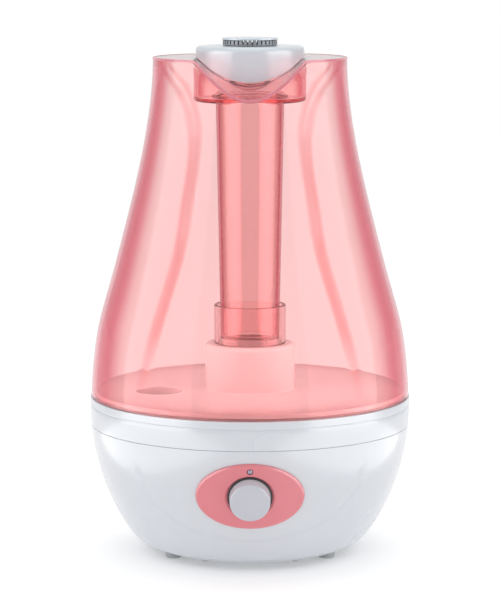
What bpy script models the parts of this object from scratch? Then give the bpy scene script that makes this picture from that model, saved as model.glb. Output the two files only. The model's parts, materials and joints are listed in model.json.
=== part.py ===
"""Cool mist humidifier: a pear-shaped water tank that lifts off a round ultrasonic base.

Metres, +Z up. The origin is on the ground under the middle of the whole object, and the
control panel faces -Y. Each piece is made round the body's own upright axis, and everything
then moves back a little, because the knob stands out in front. The base is the fixed body.
The tank lifts along +Z with its filler cap and valve, and the nozzle cover lifts off the
tank with the mist rotor in it.
"""

import math

import bmesh
import bpy
from mathutils import Matrix, Vector

# ---------------------------------------------------------------- driving sizes
GAP = 0.0003  # between pieces that touch, are welded or are screwed together
RUNNING_GAP = 0.0005  # round a piece that turns or slides
SCREW_GAP = 0.0004  # round a screw's shank

BASE_RADIUS = 0.100
FOOT_HEIGHT = 0.0045
SEAM_HEIGHT = 0.0985  # where the tank sits down on the base
TANK_TOP = 0.309

# Base: the deck's skirt continues the bowl's side up to the rim.
BASE_WALL = 0.0024
RIM_BAND_LOW = 0.0927  # the side is upright above this height
RIM_EDGE = 0.0006
GROOVE_HEIGHT = 0.0936
GROOVE_DEPTH = 0.0005
PARTING_HEIGHT = 0.0808  # between the deck's skirt and the bowl
BOWL_CURVE_LOW = (0.0683, 0.0070)  # radius and height where the side's curve ends
BOWL_BOTTOM_RADIUS = 0.0613
BOWL_UPPER_PULL = 0.495  # Bezier handles, as shares of the curve's own height and width
BOWL_LOWER_PULL = (0.366, 0.085)
FLANGE_INNER_RADIUS = 0.0520
FLANGE_THICKNESS = 0.0025
COVER_THICKNESS = 0.0022
COVER_RIM = 0.0010  # of the bowl, round the bottom cover

# Deck: a water basin with the mist chamber's fittings in it.
BASIN_INSET = 0.0120  # from the base's side to the basin's wall
BASIN_FLOOR = 0.0724
BASIN_FILLET = 0.0040
LEDGE_HEIGHT = 0.0960

# Tank
TANK_STEP = 0.0007  # the tank's side stands in from the base's
TANK_WALL = 0.0024
TANK_TOP_RADIUS = 0.0600
TANK_LOWER_PULL = 0.251
TANK_UPPER_PULL = 0.329
TANK_EDGE = 0.0016
CUP_RADIUS = 0.0324
CUP_DEPTH = 0.0250
SCOOP_HALF_WIDTH = 0.0330
SCOOP_DEPTH = 0.0145  # under the nozzle cover
SCOOP_FALL = 0.32  # how fast a scoop deepens towards the tank's side
CHIMNEY_RADIUS = 0.0212  # under the cup
CHIMNEY_LOW_RADIUS = 0.0184
CHIMNEY_WALL = 0.0014
FLOOR_THICKNESS = 0.0029
FLOOR_HEIGHT = 0.1025
TOWER_RADIUS = 0.0280
TOWER_HEIGHT = 0.0285  # above the tank's floor
TOWER_WALL = 0.0025
TOWER_SKIRT = 0.0155  # below the tank's floor
COLLAR_HEIGHT = 0.0240  # round the chimney's end, above the tower
COLLAR_OUTER_RADIUS = 0.0224
SEAT_RISE = 0.0035  # of the lip that the chimney stands on, above the tower
COLLAR_TUBE_WALL = 0.0022
LOCATOR_HEIGHT = 0.0024
LOCATOR_WIDTH = 0.0020

# Mist pipe in the chimney
PIPE_WALL = 0.0018
PIPE_LOW_CLEARANCE = 0.0004
PIPE_FLANGE = 0.0042
PIPE_FLANGE_THICKNESS = 0.0015
PIPE_END_GAP = 0.0016  # over the chimney's lower end

# Nozzle
COVER_OVERLAP = 0.0012  # over the cup's rim
COVER_RISE = 0.0070
COVER_FILLET = 0.0050
COVER_WALL = 0.0022
COLLAR_RADIUS = 0.0176
COLLAR_WALL = 0.0016
COLLAR_DEPTH = 0.0140
OUTLET_RADIUS = 0.0130
ROTOR_RADIUS = 0.0168
ROTOR_HEIGHT = 0.0030
ROTOR_RING = 0.0022
ROTOR_FLOOR = 0.0012
ROTOR_SLOTS = 18
ROTOR_SLOT_WIDTH = 0.0016
ROTOR_SPIGOT_WALL = 0.0016
ROTOR_LIP = 0.0010
NOZZLE_CAP_OVERHANG = 0.0006
NOZZLE_CAP_THICKNESS = 0.0012
NOZZLE_CAP_EDGE = 0.0005

# Filler cap and its valve, under the tank's floor
FILLER_ANGLE = math.radians(194)
FILLER_BORE = 0.0140
FILLER_NECK_WALL = 0.0022
FILLER_NECK_LENGTH = 0.0116
CAP_WALL = 0.0022
CAP_FLOOR = 0.0024
CAP_GRIPS = 12
CAP_GRIP_DEPTH = 0.0007
CAP_THREAD_GAP = 0.0006
SEAL_THICKNESS = 0.0010
CAP_PORTS = 6
CAP_PORT_RADIUS = 0.0020
CAP_PORT_CIRCLE = 0.0068
VALVE_TRAVEL = 0.0030
VALVE_SEAL_THICKNESS = 0.0015
VALVE_SEAL_OVERLAP = 0.0010  # past the ports
VALVE_PIN_RADIUS = 0.0018
VALVE_HEAD_RADIUS = 0.0040
VALVE_HEAD_THICKNESS = 0.0012
SPRING_SPACE = 0.0045
SPRING_RADIUS = 0.0029
SPRING_WIRE = 0.0004
SPRING_TURNS = 3
VALVE_POST_RADIUS = 0.0045

# Float and its reed switch
FLOAT_ANGLE = math.radians(20)
FLOAT_RADIUS = 0.0120
FLOAT_HEIGHT = 0.0090
FLOAT_EDGE = 0.0010
FLOAT_TRAVEL = 0.0080
FLOAT_POST_RADIUS = 0.0034
FLOAT_CLIP_THICKNESS = 0.0014
FLOAT_CLIP_WIDTH = 0.0020
REED_RADIUS = 0.0014
REED_LENGTH = 0.0150

# Transducer, clamped under the basin
TRANSDUCER_Y = -0.0120
TRANSDUCER_RADIUS = 0.0100
TRANSDUCER_THICKNESS = 0.0012
TRANSDUCER_WINDOW = 0.0085
TRANSDUCER_SEAT_WALL = 0.0022
TRANSDUCER_SEAL = 0.0015
CLAMP_THICKNESS = 0.0018
CLAMP_COLLAR = 0.0018
CLAMP_EAR = 0.0180
CLAMP_EAR_WIDTH = 0.0080

# Fan, air duct and air chimney, on one axis
FAN_Y = 0.0170
FAN_SIDE = 0.0500
FAN_DEPTH = 0.0150
FAN_LOW = 0.0120
FAN_BORE = 0.0226
FAN_HOLES = 0.0400  # between the corner screws
FAN_HUB = 0.0105
FAN_HUB_EDGE = 0.0010
FAN_SPOKE = 0.0030
FAN_BACK = 0.0025
FAN_BLADES = 7
FAN_BLADE_CHORD = 0.0085
FAN_BLADE_THICKNESS = 0.0012
FAN_BLADE_ROOT = 0.0016  # inside the hub
FAN_ROOT_PITCH = math.radians(48)
FAN_TIP_PITCH = math.radians(30)
AIR_RADIUS = 0.0070
AIR_WALL = 0.0016
AIR_RISE = 0.0396  # the air chimney, above the basin's floor
AIR_DROP = 0.0100  # and below its underside
DUCT_WALL = 0.0016
DUCT_FLANGE = 0.0020
DUCT_SLEEVE = 0.0080

# Screws
SCREW_RADIUS = 0.0014
SCREW_HEAD_RADIUS = 0.0028
SCREW_HEAD_HEIGHT = 0.0020
SCREW_HEAD_EDGE = 0.0008
SCREW_BITE = 0.0080  # into its boss
BOSS_RADIUS = 0.0034
CASE_BOSS_RADIUS = 0.0042
CASE_SCREW_ANGLES = [math.radians(a) for a in (60, 120, 240, 300)]
CASE_SCREW_INSET = 0.0055  # from the bowl's bottom edge
GRILLE_SLOTS = 5
GRILLE_SLOT_WIDTH = 0.0040
GRILLE_PITCH = 0.0080
GRILLE_RADIUS = 0.0215

# Feet
FOOT_RADIUS = 0.0050
FOOT_EDGE = 0.0008
FOOT_INSET = 0.0063  # from the bowl's bottom edge
FOOT_ANGLES = [math.radians(a) for a in (30, 150, 210, 330)]

# Control panel on the bowl's front
PANEL_DROP = 0.0175  # from the basin's underside to the panel's middle
PANEL_WIDTH = 0.0650
PANEL_TALL = 0.0434
PANEL_THICKNESS = 0.0014
KNOB_RADIUS = 0.0124
KNOB_DRAFT = 0.0004
KNOB_LOW = 0.0012
KNOB_LENGTH = 0.0080
KNOB_EDGE = 0.0009
KNOB_WALL = 0.0018
KNOB_HUB_WALL = 0.0022
KNOB_RING_GAP = 0.0009
SHAFT_RADIUS = 0.0022
SHAFT_FLAT = 0.0006
BUSHING_WALL = 0.0011
POT_RADIUS = 0.0080
POT_LENGTH = 0.0090
POT_BACK_GAP = 0.0010
POT_BACK_WALL = 0.0027
NUT_RADIUS = 0.0055
NUT_THICKNESS = 0.0020
LED_RISE = 0.0162  # above the panel's middle
LED_RADIUS = 0.0015
LED_LENGTH = 0.0034
LED_FLANGE = 0.0005
LED_BASE = 0.0010
LENS_STANDS_OUT = 0.0006

# Power inlet at the rear
JACK_HEIGHT = 0.0300
JACK_RADIUS = 0.0052
JACK_FLANGE_RADIUS = 0.0078
JACK_FLANGE = 0.0012
JACK_LENGTH = 0.0140
JACK_BORE = 0.0029
JACK_BORE_DEPTH = 0.0095
JACK_PIN_RADIUS = 0.0010
JACK_SEAT = 0.0007  # the flat flange over the curved wall

# Driver board, hung under the basin
BOARD_SIZE = (0.0360, 0.0580, 0.0016)
BOARD_X = -0.0500
BOARD_DROP = 0.0158  # from the basin's underside to the board
BOARD_HOLE_INSET = 0.0040
HEATSINK_SIZE = (0.0060, 0.0340, 0.0200)
HEATSINK_FINS = 5
HEATSINK_FIN_LENGTH = 0.0080
HEATSINK_FIN = 0.0014
TRANSISTOR_SIZE = (0.0045, 0.0100, 0.0150)
CAPACITOR_RADIUS = 0.0050
CAPACITOR_LENGTH = 0.0140
INDUCTOR_RADIUS = 0.0065
INDUCTOR_BORE = 0.0028
INDUCTOR_LENGTH = 0.0080

BIG_SIDES = 36
MID_SIDES = 24
SMALL_SIDES = 12
SCREW_SIDES = 8
COIL_SIDES = 5
COIL_STEPS = 10  # in one turn of a spring
BISECTIONS = 50
SHARP_ANGLE = math.radians(35)
DOME_SHARE = math.sqrt(0.5)  # a dome's middle corner
ROUND_SHARE = 1 - DOME_SHARE  # how far a fillet's middle lies from its corner's sides
CUT = 0.0020  # how far a cutter passes the wall it cuts

# ---------------------------------------------------------------- sizes that follow
FLANGE_LOW = FOOT_HEIGHT + GAP + COVER_THICKNESS + GAP
COVER_LOW = FOOT_HEIGHT + GAP
BASIN_RADIUS = BASE_RADIUS - BASIN_INSET
BASIN_UNDER = BASIN_FLOOR - BASE_WALL
AIR_TOP = BASIN_FLOOR + AIR_RISE
AIR_LOW = BASIN_UNDER - AIR_DROP
PANEL_HEIGHT = BASIN_UNDER - PANEL_DROP
LED_HEIGHT = PANEL_HEIGHT + LED_RISE
TANK_LOW = SEAM_HEIGHT + GAP
TANK_LOW_RADIUS = BASE_RADIUS - TANK_STEP
LEDGE_RADIUS = BASE_RADIUS - BASE_WALL - GAP
CUP_FLOOR_TOP = TANK_TOP - CUP_DEPTH
CHIMNEY_BORE = CHIMNEY_RADIUS - CHIMNEY_WALL
CHIMNEY_LOW_BORE = CHIMNEY_LOW_RADIUS - CHIMNEY_WALL
TOWER_TOP = FLOOR_HEIGHT + TOWER_HEIGHT
CHIMNEY_LOW = TOWER_TOP + SEAT_RISE + GAP
FLOOR_LOW = FLOOR_HEIGHT - FLOOR_THICKNESS
COVER_RADIUS = CUP_RADIUS + COVER_OVERLAP
COVER_TOP = TANK_TOP + COVER_RISE
MID_TROUGH = (TOWER_RADIUS + BASIN_RADIUS) / 2
FILLER_PLACE = Vector((math.cos(FILLER_ANGLE), math.sin(FILLER_ANGLE))) * MID_TROUGH
FLOAT_PLACE = Vector((math.cos(FLOAT_ANGLE), math.sin(FLOAT_ANGLE))) * MID_TROUGH
FILLER_NECK_RADIUS = FILLER_BORE + FILLER_NECK_WALL
FILLER_NECK_LOW = FLOOR_LOW - FILLER_NECK_LENGTH
CAP_FLOOR_TOP = FILLER_NECK_LOW - SEAL_THICKNESS - 2 * GAP
CAP_UNDER = CAP_FLOOR_TOP - CAP_FLOOR
CAP_RADIUS = FILLER_NECK_RADIUS + CAP_THREAD_GAP + CAP_WALL
VALVE_FOOT_TOP = CAP_UNDER - SPRING_SPACE
VALVE_FOOT_LOW = VALVE_FOOT_TOP - VALVE_HEAD_THICKNESS
VALVE_SEAL_LOW = CAP_FLOOR_TOP + GAP + VALVE_TRAVEL
FLOAT_LOW = BASIN_FLOOR + GAP
FLOAT_CLIP_LOW = FLOAT_LOW + FLOAT_HEIGHT + FLOAT_TRAVEL + GAP
FLOAT_POST_TOP = FLOAT_CLIP_LOW + FLOAT_CLIP_THICKNESS + GAP
TRANSDUCER_SEAT_RADIUS = TRANSDUCER_RADIUS + TRANSDUCER_SEAT_WALL - GAP
SEAT_TOP = BASIN_UNDER + GAP  # a little into the basin's floor
SEAL_TOP = SEAT_TOP - GAP
DISC_TOP = SEAL_TOP - TRANSDUCER_SEAL - GAP
DISC_LOW = DISC_TOP - TRANSDUCER_THICKNESS
CLAMP_TOP = DISC_LOW - GAP - CLAMP_COLLAR
CLAMP_LOW = CLAMP_TOP - CLAMP_THICKNESS
TRANSDUCER_BOSS_LOW = CLAMP_TOP + GAP
FAN_TOP = FAN_LOW + FAN_DEPTH
DUCT_LOW = FAN_TOP + GAP
FAN_POST_LOW = DUCT_LOW + DUCT_FLANGE + GAP
BOARD_TOP = BASIN_UNDER - BOARD_DROP
BOARD_LOW = BOARD_TOP - BOARD_SIZE[2]
FOOT_CIRCLE = BOWL_BOTTOM_RADIUS - FOOT_INSET
CASE_SCREW_CIRCLE = BOWL_BOTTOM_RADIUS - CASE_SCREW_INSET


# ---------------------------------------------------------------- materials
def material(name, colour, roughness, metallic=0.0, transmission=0.0):
    made = bpy.data.materials.new(name)
    made.use_nodes = True
    made.diffuse_color = (*colour, 1.0)
    shader = made.node_tree.nodes["Principled BSDF"]
    shader.inputs["Base Color"].default_value = (*colour, 1.0)
    shader.inputs["Roughness"].default_value = roughness
    shader.inputs["Metallic"].default_value = metallic
    shader.inputs["Transmission Weight"].default_value = transmission
    return made


def make_materials():
    return {
        "white_abs": material("white_abs", (0.83, 0.85, 0.88), 0.22),
        "nozzle_white": material("nozzle_white", (0.86, 0.87, 0.88), 0.30),
        "tank_pink": material("tank_pink", (0.95, 0.42, 0.45), 0.10, transmission=0.9),
        "pipe_pink": material("pipe_pink", (0.90, 0.36, 0.40), 0.12, transmission=0.8),
        "floor_pink": material("floor_pink", (0.96, 0.62, 0.62), 0.20, transmission=0.5),
        "panel_pink": material("panel_pink", (0.90, 0.42, 0.40), 0.28),
        "knob_grey": material("knob_grey", (0.72, 0.74, 0.77), 0.30),
        "rotor_grey": material("rotor_grey", (0.45, 0.46, 0.48), 0.45),
        "rubber": material("rubber", (0.72, 0.73, 0.74), 0.65),
        "silicone": material("silicone", (0.75, 0.75, 0.72), 0.55),
        "screw_steel": material("screw_steel", (0.60, 0.60, 0.60), 0.35, metallic=1.0),
        "spring_steel": material("spring_steel", (0.65, 0.65, 0.66), 0.28, metallic=1.0),
        "aluminium": material("aluminium", (0.70, 0.71, 0.72), 0.40, metallic=1.0),
        "brass": material("brass", (0.78, 0.62, 0.30), 0.30, metallic=1.0),
        "ceramic": material("ceramic", (0.80, 0.76, 0.66), 0.35),
        "board_green": material("board_green", (0.03, 0.22, 0.08), 0.45),
        "black_plastic": material("black_plastic", (0.03, 0.03, 0.03), 0.45),
        "capacitor_blue": material("capacitor_blue", (0.05, 0.08, 0.30), 0.35),
        "ferrite": material("ferrite", (0.45, 0.24, 0.10), 0.55),
        "glass": material("glass", (0.80, 0.90, 0.85), 0.05, transmission=0.9),
        "led_blue": material("led_blue", (0.30, 0.42, 0.70), 0.15),
        "float_foam": material("float_foam", (0.85, 0.82, 0.74), 0.80),
    }


# ---------------------------------------------------------------- outlines
def bezier(start, handle_a, handle_b, end, t):
    s = 1 - t
    return Vector(
        s**3 * a + 3 * s * s * t * b + 3 * s * t * t * c + t**3 * d
        for a, b, c, d in zip(start, handle_a, handle_b, end)
    )


def base_curve(t):
    """(radius, height) on the base's side, from the rim band at t 0 to the bowl's foot at 1."""
    low_radius, low = BOWL_CURVE_LOW
    tall = RIM_BAND_LOW - low
    wide = BASE_RADIUS - low_radius
    upper = (BASE_RADIUS, RIM_BAND_LOW - BOWL_UPPER_PULL * tall)
    lower = (low_radius + BOWL_LOWER_PULL[0] * wide, low + BOWL_LOWER_PULL[1] * tall)
    return bezier((BASE_RADIUS, RIM_BAND_LOW), upper, lower, BOWL_CURVE_LOW, t)


def base_share(height):
    """The t at which base_curve reaches this height."""
    low, high = 0.0, 1.0
    for _ in range(BISECTIONS):
        middle = (low + high) / 2
        if base_curve(middle).y > height:
            low = middle
        else:
            high = middle
    return low


def tank_curve(t):
    """(radius, height) on the tank's side, from the seam at t 0 to the top edge at 1."""
    tall = TANK_TOP - TANK_LOW
    upper = (TANK_TOP_RADIUS, TANK_TOP - TANK_UPPER_PULL * tall)
    lower = (TANK_LOW_RADIUS, TANK_LOW + TANK_LOWER_PULL * tall)
    return bezier((TANK_LOW_RADIUS, TANK_LOW), lower, upper, (TANK_TOP_RADIUS, TANK_TOP), t)


def along(curve, start, end, steps):
    return [curve(start + (end - start) * k / steps) for k in range(steps + 1)]


def moved_in(points, distance):
    """The same curve, moved along its normals towards the axis by distance."""
    result = []
    for k, point in enumerate(points):
        before = points[max(k - 1, 0)]
        after = points[min(k + 1, len(points) - 1)]
        step = (after - before).normalized()
        normal = Vector((step.y, -step.x))
        if normal.x > 0:
            normal = -normal
        result.append(point + normal * distance)
    return result


def arc(centre, radius, start_deg, end_deg, steps):
    """Points on a circle in the (radius, height) plane."""
    angles = [math.radians(start_deg + (end_deg - start_deg) * k / steps) for k in range(steps + 1)]
    return [Vector((centre[0] + radius * math.cos(a), centre[1] + radius * math.sin(a))) for a in angles]


def scoop_depth(x, y, half_width=SCOOP_HALF_WIDTH, extra=0.0):
    """How far a scoop's floor lies below the tank's top."""
    at_middle = SCOOP_DEPTH + extra + SCOOP_FALL * max(abs(y) - COVER_RADIUS, 0.0)
    return at_middle * (1 - (x / half_width) ** 2)


# ---------------------------------------------------------------- solids
def add_turned(bm, outline, sides, centre=(0.0, 0.0), shift=0.0):
    """Turns a closed outline of (radius, height) pairs round an upright axis.

    shift is where the first corner lies, as a share of a side.
    """
    rings = []
    for radius, height in outline:
        count = sides if radius > 1e-7 else 1
        turns = [math.tau * (k + shift) / sides for k in range(count)]
        ring = []
        for angle in turns:
            x = centre[0] + radius * math.cos(angle)
            y = centre[1] + radius * math.sin(angle)
            ring.append(bm.verts.new((x, y, height)))
        rings.append(ring)
    for lower, upper in zip(rings, rings[1:] + rings[:1]):
        for k in range(sides if len(lower) + len(upper) > 2 else 0):
            corners = [
                lower[k % len(lower)],
                lower[(k + 1) % len(lower)],
                upper[(k + 1) % len(upper)],
                upper[k % len(upper)],
            ]
            bm.faces.new(list(dict.fromkeys(corners)))


def add_rod(bm, place, low, high, radius, sides=SMALL_SIDES):
    """A round solid with no corner due east or north, so that none falls on a neighbour's edge."""
    add_turned(bm, [(0, low), (radius, low), (radius, high), (0, high)], sides, place, 0.5)


def add_block(bm, low, high):
    size = Vector(high) - Vector(low)
    middle = (Vector(high) + Vector(low)) / 2
    matrix = Matrix.Translation(middle) @ Matrix.Diagonal((*size, 1.0))
    bmesh.ops.create_cube(bm, size=1.0, matrix=matrix)


def add_prism(bm, outline, low, high):
    """An outline of (x, y) pairs, raised from low to high."""
    bottom = [bm.verts.new((x, y, low)) for x, y in outline]
    top = [bm.verts.new((x, y, high)) for x, y in outline]
    bm.faces.new(bottom)
    bm.faces.new(top)
    for k in range(len(outline)):
        after = (k + 1) % len(outline)
        bm.faces.new((bottom[k], bottom[after], top[after], top[k]))


def add_section_loft(bm, sections):
    """Joins equal rings of 3-D points one after another, and closes both ends."""
    rings = [[bm.verts.new(point) for point in section] for section in sections]
    bm.faces.new(rings[0])
    bm.faces.new(rings[-1])
    for near, far in zip(rings, rings[1:]):
        for k in range(len(near)):
            after = (k + 1) % len(near)
            bm.faces.new((near[k], near[after], far[after], far[k]))


def ellipse(width, tall, count):
    turns = [math.tau * k / count for k in range(count)]
    return [(width / 2 * math.cos(a), tall / 2 * math.sin(a)) for a in turns]


def finish_mesh(name, bm, paint=None):
    """Turns a bmesh into an object in the scene, with outward faces and smooth shading."""
    bmesh.ops.recalc_face_normals(bm, faces=bm.faces)
    mesh = bpy.data.meshes.new(name)
    bm.to_mesh(mesh)
    bm.free()
    if paint is not None:
        mesh.materials.append(paint)
    mesh.shade_smooth()
    mesh.set_sharp_from_angle(angle=SHARP_ANGLE)
    made = bpy.data.objects.new(name, mesh)
    bpy.context.scene.collection.objects.link(made)
    return made


def turned(name, outline, paint, sides=MID_SIDES, centre=(0.0, 0.0)):
    """A turned object whose origin is on its own axis, on the ground."""
    bm = bmesh.new()
    add_turned(bm, outline, sides)
    made = finish_mesh(name, bm, paint)
    made.location = (centre[0], centre[1], 0.0)
    return made


def helper(name, bm):
    """A cutter or an added shape, which is no piece of its own."""
    made = finish_mesh(name, bm)
    made.hide_render = True
    made.display_type = "WIRE"
    return made


def combine(target, operation, other):
    boolean = target.modifiers.new(other.name, "BOOLEAN")
    boolean.operation = operation
    boolean.solver = "EXACT"
    boolean.object = other


def rods(places):
    """A bmesh of upright rods, each given as (place, low, high, radius)."""
    bm = bmesh.new()
    for place, low, high, radius in places:
        add_rod(bm, place, low, high, radius)
    return bm


def cut_rods(target, name, places):
    combine(target, "DIFFERENCE", helper(name, rods(places)))


def around(circle, angles):
    return [Vector((circle * math.cos(a), circle * math.sin(a))) for a in angles]


def wall_frame(height, rear=False):
    """Axes on the base's outer side at this height: X across, Y up the slope, Z outwards."""
    share = base_share(height)
    here = base_curve(share)
    slope = (base_curve(share - 0.01) - base_curve(share + 0.01)).normalized()
    side = 1.0 if rear else -1.0
    up = Vector((0.0, side * slope.x, slope.y))
    out = Vector((0.0, side * slope.y, -slope.x))
    across = up.cross(out)
    axes = Matrix((across, up, out)).transposed().to_4x4()
    return Matrix.Translation((0.0, side * here.x, here.y)) @ axes


def placed(made, matrix):
    made.matrix_world = matrix
    return made


def group(name, location=(0.0, 0.0, 0.0), rotation=None):
    """An empty on a joint's axis, that its pieces are parented to."""
    empty = bpy.data.objects.new(name, None)
    empty.matrix_world = Matrix.Translation(location) @ (rotation or Matrix.Identity(4))
    bpy.context.scene.collection.objects.link(empty)
    return empty


def parent_to(empty, pieces):
    bpy.context.view_layer.update()
    for piece in pieces:
        where = piece.matrix_world.copy()
        piece.parent = empty
        piece.matrix_parent_inverse = empty.matrix_world.inverted()
        piece.matrix_world = where


def screw(name, place, head_low, tip, paint):
    """A pan-head screw that points up: the head's underside faces the joint."""
    top = head_low + SCREW_HEAD_HEIGHT
    edge = SCREW_HEAD_EDGE
    outline = [
        (0, head_low),
        (SCREW_HEAD_RADIUS - edge, head_low),
        (SCREW_HEAD_RADIUS, head_low + edge),
        (SCREW_HEAD_RADIUS, top),
        (SCREW_RADIUS, top),
        (SCREW_RADIUS, tip - SCREW_RADIUS),
        (0, tip),
    ]
    return turned(name, outline, paint, SCREW_SIDES, place)


# ---------------------------------------------------------------- base
def fan_corners():
    half = FAN_HOLES / 2
    return [Vector((sx * half, FAN_Y + sy * half)) for sx in (-1, 1) for sy in (-1, 1)]


def board_corners():
    half_x = BOARD_SIZE[0] / 2 - BOARD_HOLE_INSET
    half_y = BOARD_SIZE[1] / 2 - BOARD_HOLE_INSET
    return [Vector((BOARD_X + sx * half_x, sy * half_y)) for sx in (-1, 1) for sy in (-1, 1)]


def clamp_ears():
    return [Vector((side * CLAMP_EAR, TRANSDUCER_Y)) for side in (-1, 1)]


def upper_deck(paint):
    skirt = along(base_curve, 0.0, base_share(PARTING_HEIGHT), 3)
    inside = moved_in(skirt, BASE_WALL)
    under_ledge = LEDGE_HEIGHT - BASE_WALL
    outline = [
        (0, BASIN_FLOOR),
        (BASIN_RADIUS - BASIN_FILLET, BASIN_FLOOR),
        (BASIN_RADIUS - BASIN_FILLET * ROUND_SHARE, BASIN_FLOOR + BASIN_FILLET * ROUND_SHARE),
        (BASIN_RADIUS, BASIN_FLOOR + BASIN_FILLET),
        (BASIN_RADIUS, LEDGE_HEIGHT),
        (LEDGE_RADIUS, LEDGE_HEIGHT),
        (LEDGE_RADIUS, SEAM_HEIGHT),
        (BASE_RADIUS - RIM_EDGE, SEAM_HEIGHT),
        (BASE_RADIUS, SEAM_HEIGHT - RIM_EDGE),
        (BASE_RADIUS, GROOVE_HEIGHT + GROOVE_DEPTH),
        (BASE_RADIUS - GROOVE_DEPTH, GROOVE_HEIGHT),
        *skirt,
        *reversed(inside[:-1] + [Vector((inside[-1].x, PARTING_HEIGHT))]),
        (BASE_RADIUS - BASE_WALL, under_ledge - BASE_WALL),
        (BASE_RADIUS - 2 * BASE_WALL, under_ledge),
        (BASIN_RADIUS + BASE_WALL, under_ledge),
        (BASIN_RADIUS + BASE_WALL, BASIN_UNDER),
        (0, BASIN_UNDER),
    ]
    deck = turned("upper_deck", outline, paint, BIG_SIDES)
    inner = BASIN_UNDER + BASE_WALL / 2
    fan_axis = Vector((0.0, FAN_Y))
    case_places = around(CASE_SCREW_CIRCLE, CASE_SCREW_ANGLES)
    flange_top = FLANGE_LOW + FLANGE_THICKNESS
    posts = [(place, flange_top + GAP, inner, CASE_BOSS_RADIUS) for place in case_places]
    posts += [(place, FAN_POST_LOW, inner, BOSS_RADIUS) for place in fan_corners()]
    posts += [(place, BOARD_TOP + GAP, inner, BOSS_RADIUS) for place in board_corners()]
    posts += [(place, TRANSDUCER_BOSS_LOW, inner, BOSS_RADIUS) for place in clamp_ears()]
    posts.append((FILLER_PLACE, inner, VALVE_FOOT_LOW - GAP, VALVE_POST_RADIUS))
    posts.append((FLOAT_PLACE, inner, FLOAT_POST_TOP, FLOAT_POST_RADIUS))
    posts.append((fan_axis, AIR_LOW, AIR_TOP, AIR_RADIUS))
    added = rods(posts)
    seat_radius = TRANSDUCER_SEAT_RADIUS + TRANSDUCER_SEAT_WALL
    add_rod(added, (0, TRANSDUCER_Y), TRANSDUCER_BOSS_LOW, inner, seat_radius, MID_SIDES)
    combine(deck, "UNION", helper("deck_posts", added))
    pilot = SCREW_RADIUS + SCREW_GAP
    holes = [(p, flange_top, flange_top + SCREW_BITE + CUT, pilot) for p in case_places]
    holes += [(p, FAN_POST_LOW - CUT, FAN_POST_LOW + SCREW_BITE + CUT, pilot) for p in fan_corners()]
    holes += [(p, BOARD_TOP - CUT, BOARD_TOP + SCREW_BITE + CUT, pilot) for p in board_corners()]
    holes += [(p, TRANSDUCER_BOSS_LOW - CUT, SEAT_TOP, pilot) for p in clamp_ears()]
    reed_low = BASIN_UNDER - CUT
    reed_top = FLOAT_POST_TOP - BASE_WALL
    holes.append((FLOAT_PLACE, reed_low, reed_top, REED_RADIUS + SCREW_GAP))
    holes.append((fan_axis, AIR_LOW - CUT, AIR_TOP + CUT, AIR_RADIUS - AIR_WALL))
    removed = rods(holes)
    low = TRANSDUCER_BOSS_LOW - CUT
    seat_bore = TRANSDUCER_SEAT_RADIUS
    outline = [(0, low), (seat_bore, low), (seat_bore, SEAT_TOP), (TRANSDUCER_WINDOW, SEAT_TOP)]
    outline += [(TRANSDUCER_WINDOW, BASIN_FLOOR + CUT), (0, BASIN_FLOOR + CUT)]
    add_turned(removed, outline, MID_SIDES, (0, TRANSDUCER_Y))
    combine(deck, "DIFFERENCE", helper("deck_holes", removed))


def bowl_outline():
    share = base_share(PARTING_HEIGHT - GAP)
    side = along(base_curve, share, 1.0, 7)
    inside = moved_in(side, BASE_WALL)
    flange_top = FLANGE_LOW + FLANGE_THICKNESS
    inner_side = [point for point in inside[1:] if point.y > flange_top + BASE_WALL]
    cover_radius = BOWL_BOTTOM_RADIUS - COVER_RIM
    return [
        *side,
        (BOWL_BOTTOM_RADIUS, FOOT_HEIGHT),
        (cover_radius, FOOT_HEIGHT),
        (cover_radius, FLANGE_LOW),
        (FLANGE_INNER_RADIUS, FLANGE_LOW),
        (FLANGE_INNER_RADIUS, flange_top),
        (BOWL_CURVE_LOW[0] - BASE_WALL, flange_top),
        *reversed(inner_side),
        (inside[0].x, side[0].y),
    ]


def wall_hole(target, name, height, radius, rear=False):
    """A round hole square to the base's side."""
    bm = bmesh.new()
    add_rod(bm, (0, 0), -3 * BASE_WALL, 3 * BASE_WALL, radius, MID_SIDES)
    combine(target, "DIFFERENCE", placed(helper(name, bm), wall_frame(height, rear)))


def base_bowl(paint):
    bowl = turned("base_bowl", bowl_outline(), paint, BIG_SIDES)
    wall_hole(bowl, "bushing_hole", PANEL_HEIGHT, SHAFT_RADIUS + RUNNING_GAP + BUSHING_WALL + GAP)
    wall_hole(bowl, "led_hole", LED_HEIGHT, LED_RADIUS + GAP)
    wall_hole(bowl, "jack_hole", JACK_HEIGHT, JACK_RADIUS + GAP, rear=True)
    top = FLANGE_LOW + FLANGE_THICKNESS + CUT
    through = SCREW_RADIUS + SCREW_GAP
    places = around(CASE_SCREW_CIRCLE, CASE_SCREW_ANGLES)
    cut_rods(bowl, "flange_holes", [(p, FLANGE_LOW - CUT, top, through) for p in places])


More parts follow.
